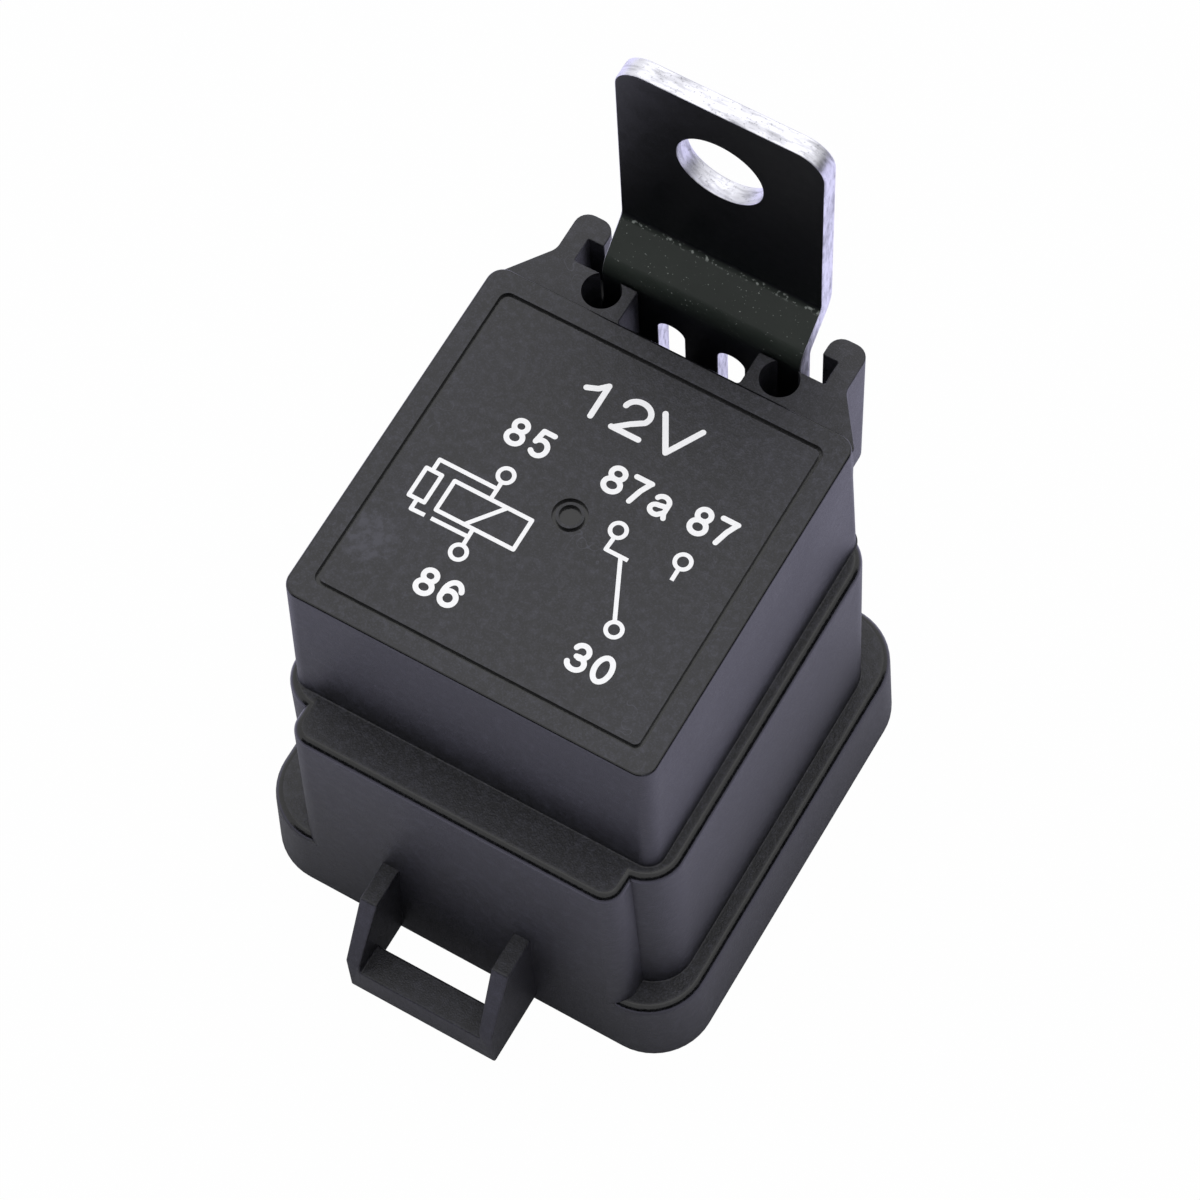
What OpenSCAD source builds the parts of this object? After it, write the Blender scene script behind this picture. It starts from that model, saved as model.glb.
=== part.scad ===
// Skirted automotive relay with a clip-in steel mounting bracket.
// Millimetres. +Z is up, -Y is the side with the locking loop, +Y is the
// side with the bracket. The skirt's rim stands on Z = 0.

/* [Case] */
// Width and depth of the top face
case_w = 28; // [27:0.5:32]
// Height from the skirt's rim to the top face
case_h = 41.4; // [39:0.2:46]
// Outward slope of each upper wall, from the top face to the upper ledge
draft = 0.4; // [0:0.1:0.6]
// Thickness of the upper walls
wall = 1.4; // [1:0.1:1.6]
// Thickness of the top face
top_t = 1.5; // [1:0.1:2]
// Corner radius of the upper walls
case_r = 1.8; // [1:0.1:3]
// Edge rounding of the top face
rim_fillet = 0.2; // [0.15:0.05:0.6]

/* [Steps] */
// Height of the upper ledge
ledge_z = 26.9; // [25:0.1:29]
// Width of the upper ledge on the right side
ledge_step = 1.25; // [1:0.05:2]
// How far the middle walls sit to the right of the upper walls
ledge_shift = 0.25; // [0:0.05:0.3]
// Depth of the front ledge behind the front block
front_step = 1.2; // [0.8:0.1:2]
// Corner radius of the middle walls
mid_r = 3; // [2:0.1:4]
// Height of the skirt's ledge
skirt_z = 8.1; // [7:0.1:10]
// How far the skirt's rim stands out past the middle walls
skirt_step = 1.95; // [1.6:0.05:2.5]
// Outward slope of the skirt's walls, and of the front wall from ledge to rim
skirt_draft = 0.35; // [0.1:0.05:0.5]
// Corner radius of the skirt
skirt_r = 4.6; // [3.5:0.1:5.5]
// Wall thickness of the skirt and of the middle walls
skirt_wall = 1.6; // [1.2:0.1:1.8]
// Edge rounding of both ledges
ledge_fillet = 0.75; // [0.4:0.05:0.9]

/* [Blocks] */
// Width of the block on the front wall, at its top
front_block_w = 25.9; // [22:0.1:27]
// How much wider the front block is at its foot, each side
front_block_draft = 0.7; // [0:0.1:1]
// How far the front block stands out from the middle wall
front_block_d = 2.4; // [1.8:0.1:3]
// Width of the block on the back wall
back_block_w = 26.8; // [22:0.2:28]
// How far the back block stands out from the back wall
back_block_d = 2; // [1.8:0.1:2.6]
// How far the skirt's back stands out from the back wall
skirt_back_d = 2.8; // [2.4:0.1:3.4]

/* [Top face] */
// Distance from the top face's edge to the groove round its panel
groove_inset = 1.55; // [1.2:0.05:3]
// Width of the groove
groove_w = 0.3; // [0.2:0.05:0.6]
// Depth of the groove
groove_d = 0.3; // [0.2:0.05:0.5]
// Corner radius of the groove
groove_r = 0.7; // [0.6:0.1:2]
// Diameter of the sealed vent mark in the middle
vent_d = 2.5; // [2:0.1:4]

/* [Locking loop] */
// Outside width of the loop
loop_w = 12.2; // [9:0.2:16]
// Thickness of the loop's two arms
loop_arm_t = 1.4; // [1:0.1:2]
// How far the loop stands out from the front
loop_reach = 6.2; // [5:0.1:8]
// Length of the level top edge of each arm
loop_level = 3.3; // [2:0.1:4]
// Height of the loop's underside
loop_z = 0.8; // [0.2:0.1:2]
// Height of the arms above the rim
loop_top_z = 11.6; // [10:0.1:13]
// How much thinner each arm is at its lower edge
loop_draft = 0.5; // [0:0.1:0.6]
// Height of the loop's cross bar
loop_bar_h = 3.6; // [2.5:0.1:4.5]
// Depth of the loop's cross bar
loop_bar_d = 2.5; // [1.5:0.1:3]

/* [Bracket holder] */
// Distance from the top face down to the holder's top
holder_drop = 0.8; // [0.4:0.1:2]
// Outside width across the two ears
ear_w = 22.5; // [21.5:0.1:24]
// Width of the opening between the ears' lips
lip_gap = 17.6; // [16.6:0.1:18.4]
// Thickness of each lip behind the bracket
lip_t = 1.8; // [1.2:0.1:2.4]
// Thickness of plastic in front of the bracket
holder_d = 2.8; // [2.4:0.1:3.4]
// Width of the pocket in the middle of the holder
pocket_w = 9.4; // [8:0.2:10]
// Diameter of the two round holes in the holder
core_hole_d = 2.8; // [2:0.1:3]
// Distance between the centres of those two holes
core_hole_pitch = 13.8; // [13.4:0.1:14.4]

/* [Bracket] */
// Thickness of the bracket's steel
bracket_t = 1.5; // [1.2:0.1:1.8]
// Width of the bracket above the ears
bracket_w = 15.4; // [14:0.1:16]
// Height of the bracket's top edge above the skirt's rim
bracket_top_z = 62.8; // [60:0.2:70]
// Offset of the upper plate behind the lower one
joggle = 2.9; // [2:0.1:4]
// Height at which the joggle ends and the upper plate starts
joggle_z = 44.1; // [43.8:0.1:46]
// Inside radius of the bracket's two bends
bend_r = 1; // [0.5:0.1:1.5]
// Radius of the bracket's upper corners
bracket_r = 2.1; // [1.5:0.1:4]
// Diameter of the screw hole
bracket_hole_d = 6.4; // [5:0.1:7.4]
// Distance from the top edge down to the hole's centre
bracket_hole_drop = 7; // [6.5:0.1:9]
// Height of the wings that slide in the channels
wing_h = 8.6; // [6:0.2:9]
// Width of each snap slot
slot_w = 2.1; // [1.6:0.1:2.4]
// Distance between the centres of the two snap slots
slot_pitch = 4.7; // [4.2:0.1:5]
// Height of the snap slots
slot_h = 8.6; // [7:0.2:9]
// Running clearance of the bracket in its channels
slide_gap = 0.2; // [0.1:0.05:0.3]

/* [Terminals] */
// Width of each blade
blade_w = 6.3; // [6.3:0.1:6.3]
// Thickness of each blade
blade_t = 0.8; // [0.8:0.1:0.8]
// Distance from the skirt's rim up to the blades' tips
blade_setback = 1.4; // [0.5:0.1:2.5]
// Distance between the two coil terminals
coil_pitch = 16.8; // [16.6:0.1:17.2]
// Distance from the middle terminal to the one behind it
back_pitch = 8; // [8:0.1:8.2]
// Distance from the middle terminal to the one in front of it
front_pitch = 9.3; // [8.8:0.1:9.6]

/* [Base] */
// Thickness of the epoxy that seals the base
seal_t = 1; // [0.6:0.1:1.5]
// Height of the seal's underside above the skirt's rim
seal_z = 12.2; // [11:0.1:13]
// Thickness of the base plate
base_t = 3.2; // [3:0.1:4]
// Thickness of the base's side walls
base_wall = 1.2; // [0.8:0.1:1.3]
// Clearance of the base in the cover
base_gap = 0.1; // [0.05:0.05:0.2]

/* [Magnet] */
// Thickness of the yoke's steel
yoke_t = 1.8; // [1.4:0.1:2]
// Width of the yoke
yoke_w = 12.8; // [10:0.2:14]
// Width and depth of the bobbin's flanges
flange_w = 14.6; // [13:0.2:15.2]
// Thickness of the bobbin's flanges
flange_t = 1; // [0.8:0.1:1.4]
// Diameter of the core
core_d = 6.6; // [5:0.1:7]
// Diameter of the core's pole face
pole_d = 9.6; // [8:0.1:10.4]
// Thickness of the core's pole face
pole_t = 0.9; // [0.6:0.1:1.4]
// Wall thickness of the bobbin's tube
tube_t = 0.9; // [0.7:0.1:1.2]
// Outside diameter of the winding
winding_d = 13.4; // [12:0.1:14]

/* [Contacts] */
// Thickness of the armature
armature_t = 1.6; // [1.2:0.1:1.8]
// Width of the armature
armature_w = 12; // [9:0.2:13]
// Angle through which the armature turns when the coil pulls it in
stroke_deg = 3; // [2:0.1:3.4]
// Thickness of the contact spring
leaf_t = 0.25; // [0.2:0.05:0.35]
// Width of the contact spring
leaf_w = 6.4; // [5:0.2:7.6]
// Diameter of the contacts
contact_d = 3.2; // [2.6:0.1:3.4]
// Height of the contacts' heads
contact_h = 0.7; // [0.5:0.05:0.8]
// Diameter of the rivets' shanks
rivet_d = 1.6; // [1.2:0.1:1.8]

/* [Small parts] */
// Diameter of the suppression resistor
resistor_d = 2.5; // [1.8:0.1:2.6]
// Length of the suppression resistor
resistor_l = 6.4; // [5:0.1:8]
// Diameter of the resistor's leads
resistor_lead_d = 0.6; // [0.5:0.05:0.8]
// Outside diameter of the return spring
spring_d = 1.3; // [1.1:0.05:1.4]
// Wire diameter of the return spring
spring_wire = 0.22; // [0.2:0.01:0.26]
// Number of turns in the return spring
spring_turns = 11; // [7:1:14]
// Diameter of the copper braid
braid_d = 1; // [0.7:0.05:1.1]
// Diameter of the coil's wire where it leaves the winding
lead_d = 0.26; // [0.2:0.01:0.3]

/* [Hidden] */
$fn = 48;

// Overlap that joins two solids of one piece
eps = 0.01;
// Steps round each corner of a lofted section
corner_steps = 8;
// Overlap of cutting bodies past the face they cut
cut = 1;
// Smallest air gap between two contacts that meet
touch_gap = 0.06;
// Air gap that the pulled-in armature keeps from the pole face
pole_gap = 0.1;
// Radial clearance of rivets and shanks in their holes
fit_gap = 0.02;
// Clearance of a blade in its slot in the base
slot_gap = 0.05;
// Clearance between inner pieces and the cover
inner_gap = 0.25;

// Outer walls, measured from the case's middle
case_half = case_w / 2;
foot_half = case_half + draft;
mid_half = foot_half + ledge_step;
mid_front = foot_half + front_step;
back_wall = foot_half;
shifted_half = mid_half - ledge_shift;
skirt_half = mid_half + 0.3 + skirt_step;
block_half = front_block_w / 2;
front_block_r = 1.6;
front_face = mid_front + front_block_d;
skirt_back = back_wall + skirt_back_d;
back_block_y = back_wall + back_block_d;

// Inside of the cover
cavity_half = case_half - wall;
ceiling_z = case_h - top_t;
step_z = ledge_z - wall;
low_half = mid_half - skirt_wall;
low_front = mid_front - skirt_wall;
low_back = back_wall - wall;
low_r = mid_r - skirt_wall;
skirt_in_z = skirt_z - skirt_wall;

// Holder and bracket
holder_z = case_h - holder_drop;
holder_foot_z = ledge_z - 0.5;
channel_floor_z = ledge_z + 0.3;
pocket_y = back_wall - 0.1;
plate_y = pocket_y + holder_d + slide_gap;
channel_back_y = plate_y + bracket_t + slide_gap;
ear_y = channel_back_y + lip_t;
wing_w = lip_gap + 1.4;
channel_w = wing_w + 2 * slide_gap;
wing_z = channel_floor_z + slide_gap;
slot_z = wing_z + 1.4;
upper_y = plate_y + joggle;
hole_z = bracket_top_z - bracket_hole_drop;

// Origin: the middle of the whole part's footprint
loop_front = front_face + loop_reach;
bracket_back = upper_y + bracket_t;
shift_y = (loop_front - bracket_back) / 2;

// Heights of the base and the magnet, from the bottom up
base_z = seal_z + seal_t;
base_top = base_z + base_t;
yoke_z = base_top + blade_t;
bobbin_z = yoke_z + yoke_t;

// Heights of the contacts, from the ceiling down
nc_tab_z = ceiling_z - inner_gap - blade_t;
nc_face_z = nc_tab_z - contact_h;

// Plan of the mechanism, from the walls inward
hinge_y = -(cavity_half - 2);
leg_y = hinge_y + yoke_t;
coil_y = leg_y + 0.4 + flange_w / 2;
flange_back = coil_y + flange_w / 2;
post_y = cavity_half - 0.4;
contact_y = post_y - blade_t - contact_d / 2;
lever = contact_y - hinge_y;

// The hinge lies where the raised armature just meets the upper contact
stack_h = armature_t + leaf_t + contact_h;
hinge_z = nc_face_z - touch_gap - lever * sin(stroke_deg) - stack_h * cos(stroke_deg)
    - contact_d / 2 * sin(stroke_deg);
pole_z = hinge_z - pole_gap;
bobbin_top = pole_z - pole_t;
no_face_z = hinge_z + armature_t - contact_h - touch_gap;
no_tab_z = no_face_z - contact_h - blade_t;

// How much thinner the core's riveted shank is than the core, each side
shank_step = 0.8;

// Small parts
coil_x = coil_pitch / 2;
resistor_y = flange_back + 1 + resistor_d / 2;
resistor_z = bobbin_z + resistor_d / 2 + 0.6;
finger_y = coil_y + 3;
finger_w = 1.2;
finger_l = 2.4;
finger_z = resistor_z + resistor_d / 2 + 0.4;
spring_y = hinge_y - (cavity_half + hinge_y) / 2;
lug_z = yoke_z + 6;
lug_t = 0.9;
tail_l = 1.6;
side_post_x = cavity_half - 2;
side_strip_y = blade_w / 2 + 0.75;
side_strip_w = 2.8;
strip_half = 1.5;
strip_z = base_top - 2.3;

// ---------------------------------------------------------------- helpers

// Flat rectangle with round corners, from its four sides
module round_rect(x0, x1, y0, y1, r) {
    translate([x0 + r, y0]) square([x1 - x0 - 2 * r, y1 - y0]);
    translate([x0, y0 + r]) square([x1 - x0, y1 - y0 - 2 * r]);
    for (x = [x0 + r, x1 - r], y = [y0 + r, y1 - r]) translate([x, y]) circle(r);
}

// Straight prism with round corners between two heights
module round_block(half, front, back, r, z0, z1) {
    translate([0, 0, z0]) linear_extrude(z1 - z0) round_rect(-half, half, -front, back, r);
}

// Outline of one section [z, half width, front, back, corner radius]
function section(s) = [
    for (c = [[1, 1, 0], [-1, 1, 90], [-1, -1, 180], [1, -1, 270]], i = [0 : corner_steps])
        let (a = c[2] + 90 * i / corner_steps,
             x = c[0] * (s[1] - s[4]),
             y = c[1] > 0 ? s[3] - s[4] : s[4] - s[2])
            [x + s[4] * cos(a), y + s[4] * sin(a), s[0]]
];

// Solid skinned over sections that all have the same number of points
module loft(levels) {
    count = 4 * (corner_steps + 1);
    last = len(levels) - 1;
    points = [for (s = levels) each section(s)];
    faces = concat(
        [[for (k = [0 : count - 1]) k]],
        [for (i = [0 : last - 1], k = [0 : count - 1])
            let (a = i * count + k, b = i * count + (k + 1) % count)
                [a, a + count, b + count, b]],
        [[for (k = [count - 1 : -1 : 0]) last * count + k]]
    );
    polyhedron(points, faces);
}

// Sections that round the upper edge of a loft by f
function rounded(z, half, front, back, r, f) = [
    for (a = [0, 35, 65, 90])
        let (inset = f * (1 - cos(a)))
            [z - f + f * sin(a), half - inset, front - inset, back - inset, r - inset]
];

function unit(v) = v / norm(v);

// Directions along a path, and normals carried along it without twist
function tangents(p) = [
    for (i = [0 : len(p) - 1])
        unit(p[min(i + 1, len(p) - 1)] - p[max(i - 1, 0)])
];
function normals(t, n, i = 0) = i == len(t) ? [] :
    let (m = unit(n - t[i] * (n * t[i])))
        concat([m], normals(t, m, i + 1));

// Round wire of diameter d along a list of points
module wire(path, d, start, sides = 8) {
    t = tangents(path);
    n = normals(t, start);
    count = len(path);
    points = [
        for (i = [0 : count - 1], k = [0 : sides - 1])
            let (a = 360 * k / sides)
                path[i] + d / 2 * (n[i] * cos(a) + cross(t[i], n[i]) * sin(a))
    ];
    faces = concat(
        [[for (k = [0 : sides - 1]) k]],
        [for (i = [0 : count - 2], k = [0 : sides - 1])
            let (a = i * sides + k, b = i * sides + (k + 1) % sides)
                [a, a + sides, b + sides, b]],
        [[for (k = [sides - 1 : -1 : 0]) (count - 1) * sides + k]]
    );
    polyhedron(points, faces);
}

// Blade that hangs below the base, thin along X, with a bevelled tip
module blade(top) {
    tip = 1.2;
    rotate([90, 0, 90]) translate([0, 0, -blade_t / 2]) linear_extrude(blade_t)
        polygon([
            [-blade_w / 2 + tip, blade_setback], [blade_w / 2 - tip, blade_setback],
            [blade_w / 2, blade_setback + tip], [blade_w / 2, top],
            [-blade_w / 2, top], [-blade_w / 2, blade_setback + tip]
        ]);
}

// Box from its lowest to its highest corner
module box(low, high) {
    translate(low) cube(high - low);
}

// Hole for a rivet's shank
module rivet_hole(h) {
    cylinder(d = rivet_d + 2 * fit_gap, h = h);
}

// Same shape again on the other side of the middle plane
module both_sides() {
    children();
    mirror([1, 0, 0]) children();
}

// Shape on the right (side = 1) or mirrored to the left (side = -1)
module on_side(side) {
    if (side > 0) children();
    else mirror([1, 0, 0]) children();
}

// Places what moves with the armature in its released position
module released() {
    translate([0, hinge_y, hinge_z]) rotate([stroke_deg, 0, 0])
        translate([0, -hinge_y, -hinge_z]) children();
}

// ------------------------------------------------------------------ cover

// How far the sloping front wall stands out at one height
function front_at(z) = front_face + skirt_draft * (1 - z / ledge_z);

// Stepped outside of the cover, without loop and holder
module cover_body() {
    loft(concat(
        [[step_z, foot_half, foot_half, foot_half, case_r + 0.2]],
        rounded(case_h, case_half, case_half, case_half, case_r, rim_fillet)
    ));
    translate([ledge_shift, 0, 0]) loft(concat(
        [[skirt_in_z, shifted_half + 0.3, mid_front + 0.2, back_wall, mid_r]],
        rounded(ledge_z, shifted_half, mid_front, back_wall, mid_r, ledge_fillet)
    ));
    loft(concat(
        [[0, skirt_half, front_at(0), skirt_back, skirt_r]],
        rounded(skirt_z, skirt_half - skirt_draft, front_at(skirt_z - ledge_fillet),
            skirt_back, skirt_r, ledge_fillet)
    ));
    translate([ledge_shift, 0, 0]) loft(concat(
        [[skirt_wall, block_half + front_block_draft, front_at(skirt_wall), 0, front_block_r]],
        rounded(ledge_z, block_half, front_at(ledge_z - ledge_fillet), 0, front_block_r,
            ledge_fillet)
    ));
    loft(concat(
        [[skirt_wall, back_block_w / 2, 0, back_block_y, 2]],
        rounded(ledge_z, back_block_w / 2, 0, back_block_y, 2, ledge_fillet)
    ));
}

// Rooms inside the cover: mechanism, base, socket and the two blocks
module cover_rooms() {
    round_block(cavity_half, cavity_half, cavity_half, case_r - 0.8, step_z - cut, ceiling_z);
    round_block(low_half, low_front, low_back, low_r, skirt_in_z - cut, step_z);
    round_block(skirt_half - skirt_wall, front_face - skirt_wall, skirt_back - skirt_wall,
        skirt_r - skirt_wall, -cut, skirt_in_z);
    round_block(block_half - skirt_wall, front_face - skirt_wall, 0, 1,
        skirt_in_z - cut, seal_z - 0.6);
}

// Groove round the top panel and the sealed vent mark in its middle
module top_details() {
    outer = case_half - groove_inset;
    inner = outer - groove_w;
    translate([0, 0, case_h - groove_d]) linear_extrude(groove_d + cut) difference() {
        round_rect(-outer, outer, -outer, outer, groove_r);
        round_rect(-inner, inner, -inner, inner, groove_r - groove_w);
    }
    translate([0, 0, case_h - 0.2]) linear_extrude(cut) difference() {
        circle(d = vent_d);
        circle(d = vent_d - 0.6);
    }
    translate([0, 0, case_h - 0.35]) cylinder(d = vent_d - 1.1, h = cut);
}

// Plan of the bracket holder: two ears with C-shaped channels
module holder_plan() {
    tip_r = lip_t * 0.6;
    both_sides() {
        polygon([
            [-eps, back_wall - wall], [case_half - 0.2, back_wall - wall],
            [case_half - 0.2, back_wall - 0.6], [ear_w / 2, plate_y],
            [ear_w / 2, ear_y - tip_r], [lip_gap / 2, ear_y - tip_r], [-eps, ear_y - tip_r]
        ]);
        translate([lip_gap / 2 + tip_r, ear_y - 2 * tip_r])
            square([ear_w / 2 - lip_gap / 2 - 2 * tip_r, 2 * tip_r]);
        for (x = [lip_gap / 2 + tip_r, ear_w / 2 - tip_r])
            translate([x, ear_y - tip_r]) circle(tip_r);
    }
}

// Holder with its channel, pocket and round holes
module bracket_holder() {
    difference() {
        translate([0, 0, holder_foot_z]) linear_extrude(holder_z - holder_foot_z) holder_plan();
        box([-channel_w / 2, plate_y - slide_gap, channel_floor_z],
            [channel_w / 2, channel_back_y, holder_z + cut]);
        box([-lip_gap / 2, plate_y - slide_gap, holder_foot_z - cut],
            [lip_gap / 2, ear_y + cut, holder_z + cut]);
        box([-pocket_w / 2, pocket_y, channel_floor_z],
            [pocket_w / 2, plate_y, holder_z + cut]);
        for (x = [-1, 1])
            translate([x * core_hole_pitch / 2, plate_y - slide_gap - core_hole_d / 2 + 0.25,
                channel_floor_z + 4])
                cylinder(d = core_hole_d, h = holder_z);
    }
}

// Two ramps on the pocket's wall that snap into the bracket's slots
module snap_lugs() {
    low = slot_z + 0.3;
    reach = plate_y + bracket_t * 0.7;
    both_sides()
        translate([slot_pitch / 2 - slot_w / 2 + 0.3, 0, 0])
            rotate([90, 0, 90]) linear_extrude(slot_w - 0.6)
                polygon([
                    [pocket_y - 0.3, low], [reach, low],
                    [pocket_y, low + 3.6], [pocket_y - 0.3, low + 3.6]
                ]);
}

// Loop low on the front: two cheeks and a cross bar
module locking_loop() {
    root = -front_face + 0.5;
    side = [
        [root, loop_z], [-loop_front, loop_z], [-loop_front, loop_z + 4.8],
        [-front_face - loop_level, loop_top_z], [root, loop_top_z]
    ];
    gap = loop_w / 2 - loop_arm_t;
    difference() {
        translate([-loop_w / 2, 0, 0]) rotate([90, 0, 90]) linear_extrude(loop_w) polygon(side);
        translate([0, root + cut, 0]) rotate([90, 0, 0]) linear_extrude(loop_front)
            polygon([
                [-gap - loop_draft, loop_z - cut], [gap + loop_draft, loop_z - cut],
                [gap + loop_draft, loop_z], [gap, loop_top_z], [gap, loop_top_z + cut],
                [-gap, loop_top_z + cut], [-gap, loop_top_z], [-gap - loop_draft, loop_z]
            ]);
    }
    bar_half = gap + loop_arm_t / 2;
    box([-bar_half, -loop_front, loop_z],
        [bar_half, -loop_front + loop_bar_d, loop_z + loop_bar_h]);
}

module cover() {
    color("#3a3b3e") {
        difference() {
            union() {
                cover_body();
                bracket_holder();
                locking_loop();
            }
            cover_rooms();
            top_details();
        }
        snap_lugs();
    }
}

// ---------------------------------------------------------------- bracket

// Front outline of the bracket: wings below, round corners on top
module bracket_front() {
    round_rect(-bracket_w / 2, bracket_w / 2, wing_z + 1, bracket_top_z, bracket_r);
    round_rect(-wing_w / 2, wing_w / 2, wing_z, wing_z + wing_h, 0.6);
    translate([-bracket_w / 2, wing_z + 1]) square([bracket_w, wing_h]);
}

// Points along an arc, from one angle to another
function arc(centre, r, from, to, steps = 5) = [
    for (i = [0 : steps])
        let (a = from + (to - from) * i / steps)
            centre + r * [cos(a), sin(a)]
];

// Side outline of the bracket: a plate with a 45 degree joggle
module bracket_side() {
    inner = bend_r;
    outer = bend_r + bracket_t;
    low = [plate_y + outer, joggle_z - joggle - outer * tan(22.5)];
    high = [upper_y - inner, joggle_z + inner * tan(22.5)];
    polygon(concat(
        [[plate_y, wing_z - cut]],
        arc(low, outer, 180, 135), arc(high, inner, -45, 0),
        [[upper_y, bracket_top_z + cut], [bracket_back, bracket_top_z + cut]],
        arc(high, outer, 0, -45), arc(low, inner, 135, 180),
        [[plate_y + bracket_t, wing_z - cut]]
    ));
}

module mounting_bracket() {
    color("#1d2023") difference() {
        intersection() {
            translate([-wing_w, 0, 0]) rotate([90, 0, 90]) linear_extrude(2 * wing_w)
                bracket_side();
            translate([0, bracket_back + cut, 0]) rotate([90, 0, 0])
                linear_extrude(bracket_back) bracket_front();
        }
        translate([0, bracket_back + cut, hole_z]) rotate([90, 0, 0])
            cylinder(d = bracket_hole_d, h = bracket_back);
        for (x = [-1, 1])
            translate([x * slot_pitch / 2, bracket_back, slot_z]) rotate([90, 0, 0])
                linear_extrude(bracket_back)
                    round_rect(-slot_w / 2, slot_w / 2, 0, slot_h, slot_w / 2 - eps);
    }
}

// ------------------------------------------------------- base and its seal

// Openings that the five blades need in a plate, widened by g
module blade_slots(z0, z1, g) {
    for (x = [-coil_x, coil_x])
        box([x - blade_t / 2 - g, -blade_w / 2 - g, z0], [x + blade_t / 2 + g, blade_w / 2 + g, z1]);
    box([-blade_t / 2 - g, -front_pitch - blade_w / 2 - g, z0],
        [blade_t / 2 + g, -front_pitch + blade_w / 2 + g, z1]);
    for (y = [0, back_pitch])
        box([-blade_w / 2 - g, y - blade_t / 2 - g, z0], [blade_w / 2 + g, y + blade_t / 2 + g, z1]);
}

// Strip of the break terminal that lies in the base, widened by g
module side_strip(z0, z1, g) {
    box([-strip_half - g, -blade_t / 2 - g, z0],
        [strip_half + g, side_strip_y + side_strip_w + g, z1]);
    box([-strip_half - g, side_strip_y - g, z0],
        [side_post_x + blade_t + g, side_strip_y + side_strip_w + g, z1]);
}

// Post of the break terminal beside the coil, widened by g
module side_post(z0, z1, g) {
    box([side_post_x - g, side_strip_y - g, z0],
        [side_post_x + blade_t + g, contact_y + contact_d / 2 + 0.3 + g, z1]);
}

module base() {
    half = low_half - base_gap;
    front = low_front - base_gap;
    back = low_back - base_gap;
    color("#4b4d50") difference() {
        union() {
            round_block(half, front, back, low_r, base_z, base_top);
            for (x = [-half, half - base_wall])
                box([x, -7, base_top - eps], [x + base_wall, 7, step_z - base_gap]);
            for (x = [-1, 1])
                translate([x * 4.4, coil_y + 2.5, base_top - eps]) cylinder(d = 2.4, h = blade_t + eps);
        }
        blade_slots(base_z - cut, base_top + cut, slot_gap);
        side_strip(strip_z - slot_gap, base_top + cut, slot_gap);
        side_post(strip_z - slot_gap, base_top + cut, slot_gap);
    }
}

module potting_seal() {
    g = slot_gap;
    color("#1c1c1e") difference() {
        round_block(low_half - g, low_front - g, low_back - g, low_r, seal_z, base_z);
        blade_slots(seal_z - cut, base_z + cut, 0);
    }
}

// --------------------------------------------------------------- terminals

module terminal_30() {
    color("#c9a45c") translate([0, -front_pitch, 0]) {
        blade(base_top + eps);
        box([-3, -blade_w / 2, base_top], [3, blade_w / 2, yoke_z]);
    }
}

// Coil terminal with a tab for the resistor and a finger for the coil's wire
module coil_terminal(side) {
    tab_back = resistor_y + resistor_d / 2;
    color("#c9a45c") translate([side * coil_x, 0, 0]) difference() {
        union() {
            blade(base_top + 1);
            box([-blade_t / 2, -1, base_top], [blade_t / 2, tab_back, finger_z]);
            box([-blade_t / 2, finger_y - finger_w / 2, finger_z - eps],
                [blade_t / 2, finger_y + finger_w / 2, finger_z + finger_l]);
        }
        translate([-cut, resistor_y, resistor_z]) rotate([0, 90, 0])
            cylinder(d = resistor_lead_d + 0.1, h = 2 * cut);
    }
}

module terminal_85() {
    coil_terminal(1);
}

module terminal_86() {
    coil_terminal(-1);
}

// Make terminal: blade, shelf over the base, post and contact tab
module terminal_87() {
    half = blade_w / 2;
    color("#c9a45c") difference() {
        union() {
            translate([0, back_pitch, 0]) rotate([0, 0, 90]) blade(base_top + eps);
            box([-half, back_pitch - blade_t / 2, base_top], [half, post_y, yoke_z]);
            box([-half, post_y - blade_t, base_top], [half, post_y, no_tab_z + blade_t]);
            box([-half, contact_y - contact_d / 2, no_tab_z], [half, post_y, no_tab_z + blade_t]);
        }
        translate([0, contact_y, no_tab_z - cut]) rivet_hole(2 * cut + blade_t);
    }
}

// Break terminal: blade, strip in the base, side post and upper tab
module terminal_87a() {
    color("#c9a45c") difference() {
        union() {
            rotate([0, 0, 90]) blade(strip_z + blade_t);
            side_strip(strip_z, strip_z + blade_t, 0);
            side_post(strip_z, nc_tab_z + blade_t, 0);
            box([-contact_d / 2 - 0.6, contact_y - contact_d / 2 - 0.3, nc_tab_z],
                [side_post_x + blade_t, contact_y + contact_d / 2 + 0.3, nc_tab_z + blade_t]);
        }
        translate([0, contact_y, nc_tab_z - cut]) rivet_hole(2 * cut + blade_t);
    }
}

// ------------------------------------------------------------------ magnet

// L-shaped yoke with the bore for the core and a lug for the return spring
module yoke() {
    half = yoke_w / 2;
    color("#8d9196") difference() {
        union() {
            box([-half, hinge_y, yoke_z], [half, flange_back - 0.2, bobbin_z]);
            box([-half, hinge_y, yoke_z], [half, leg_y, hinge_z - slot_gap]);
            box([-1.3, spring_y - 0.5, lug_z], [1.3, leg_y, lug_z + lug_t]);
        }
        translate([0, coil_y, yoke_z - cut])
            cylinder(r = core_d / 2 - shank_step + fit_gap, h = yoke_t + 2 * cut);
        box([-0.3, spring_y - cut, lug_z - cut], [0.3, spring_y + 0.3, lug_z + lug_t + cut]);
    }
}

module core() {
    shank_r = core_d / 2 - shank_step;
    color("#a3a6aa") translate([0, coil_y, 0]) rotate_extrude() polygon([
        [0, yoke_z], [shank_r, yoke_z], [shank_r, bobbin_z],
        [core_d / 2, bobbin_z], [core_d / 2, bobbin_top], [pole_d / 2, bobbin_top],
        [pole_d / 2, pole_z - 0.2], [pole_d / 2 - 0.2, pole_z], [0, pole_z]
    ]);
}

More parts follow.
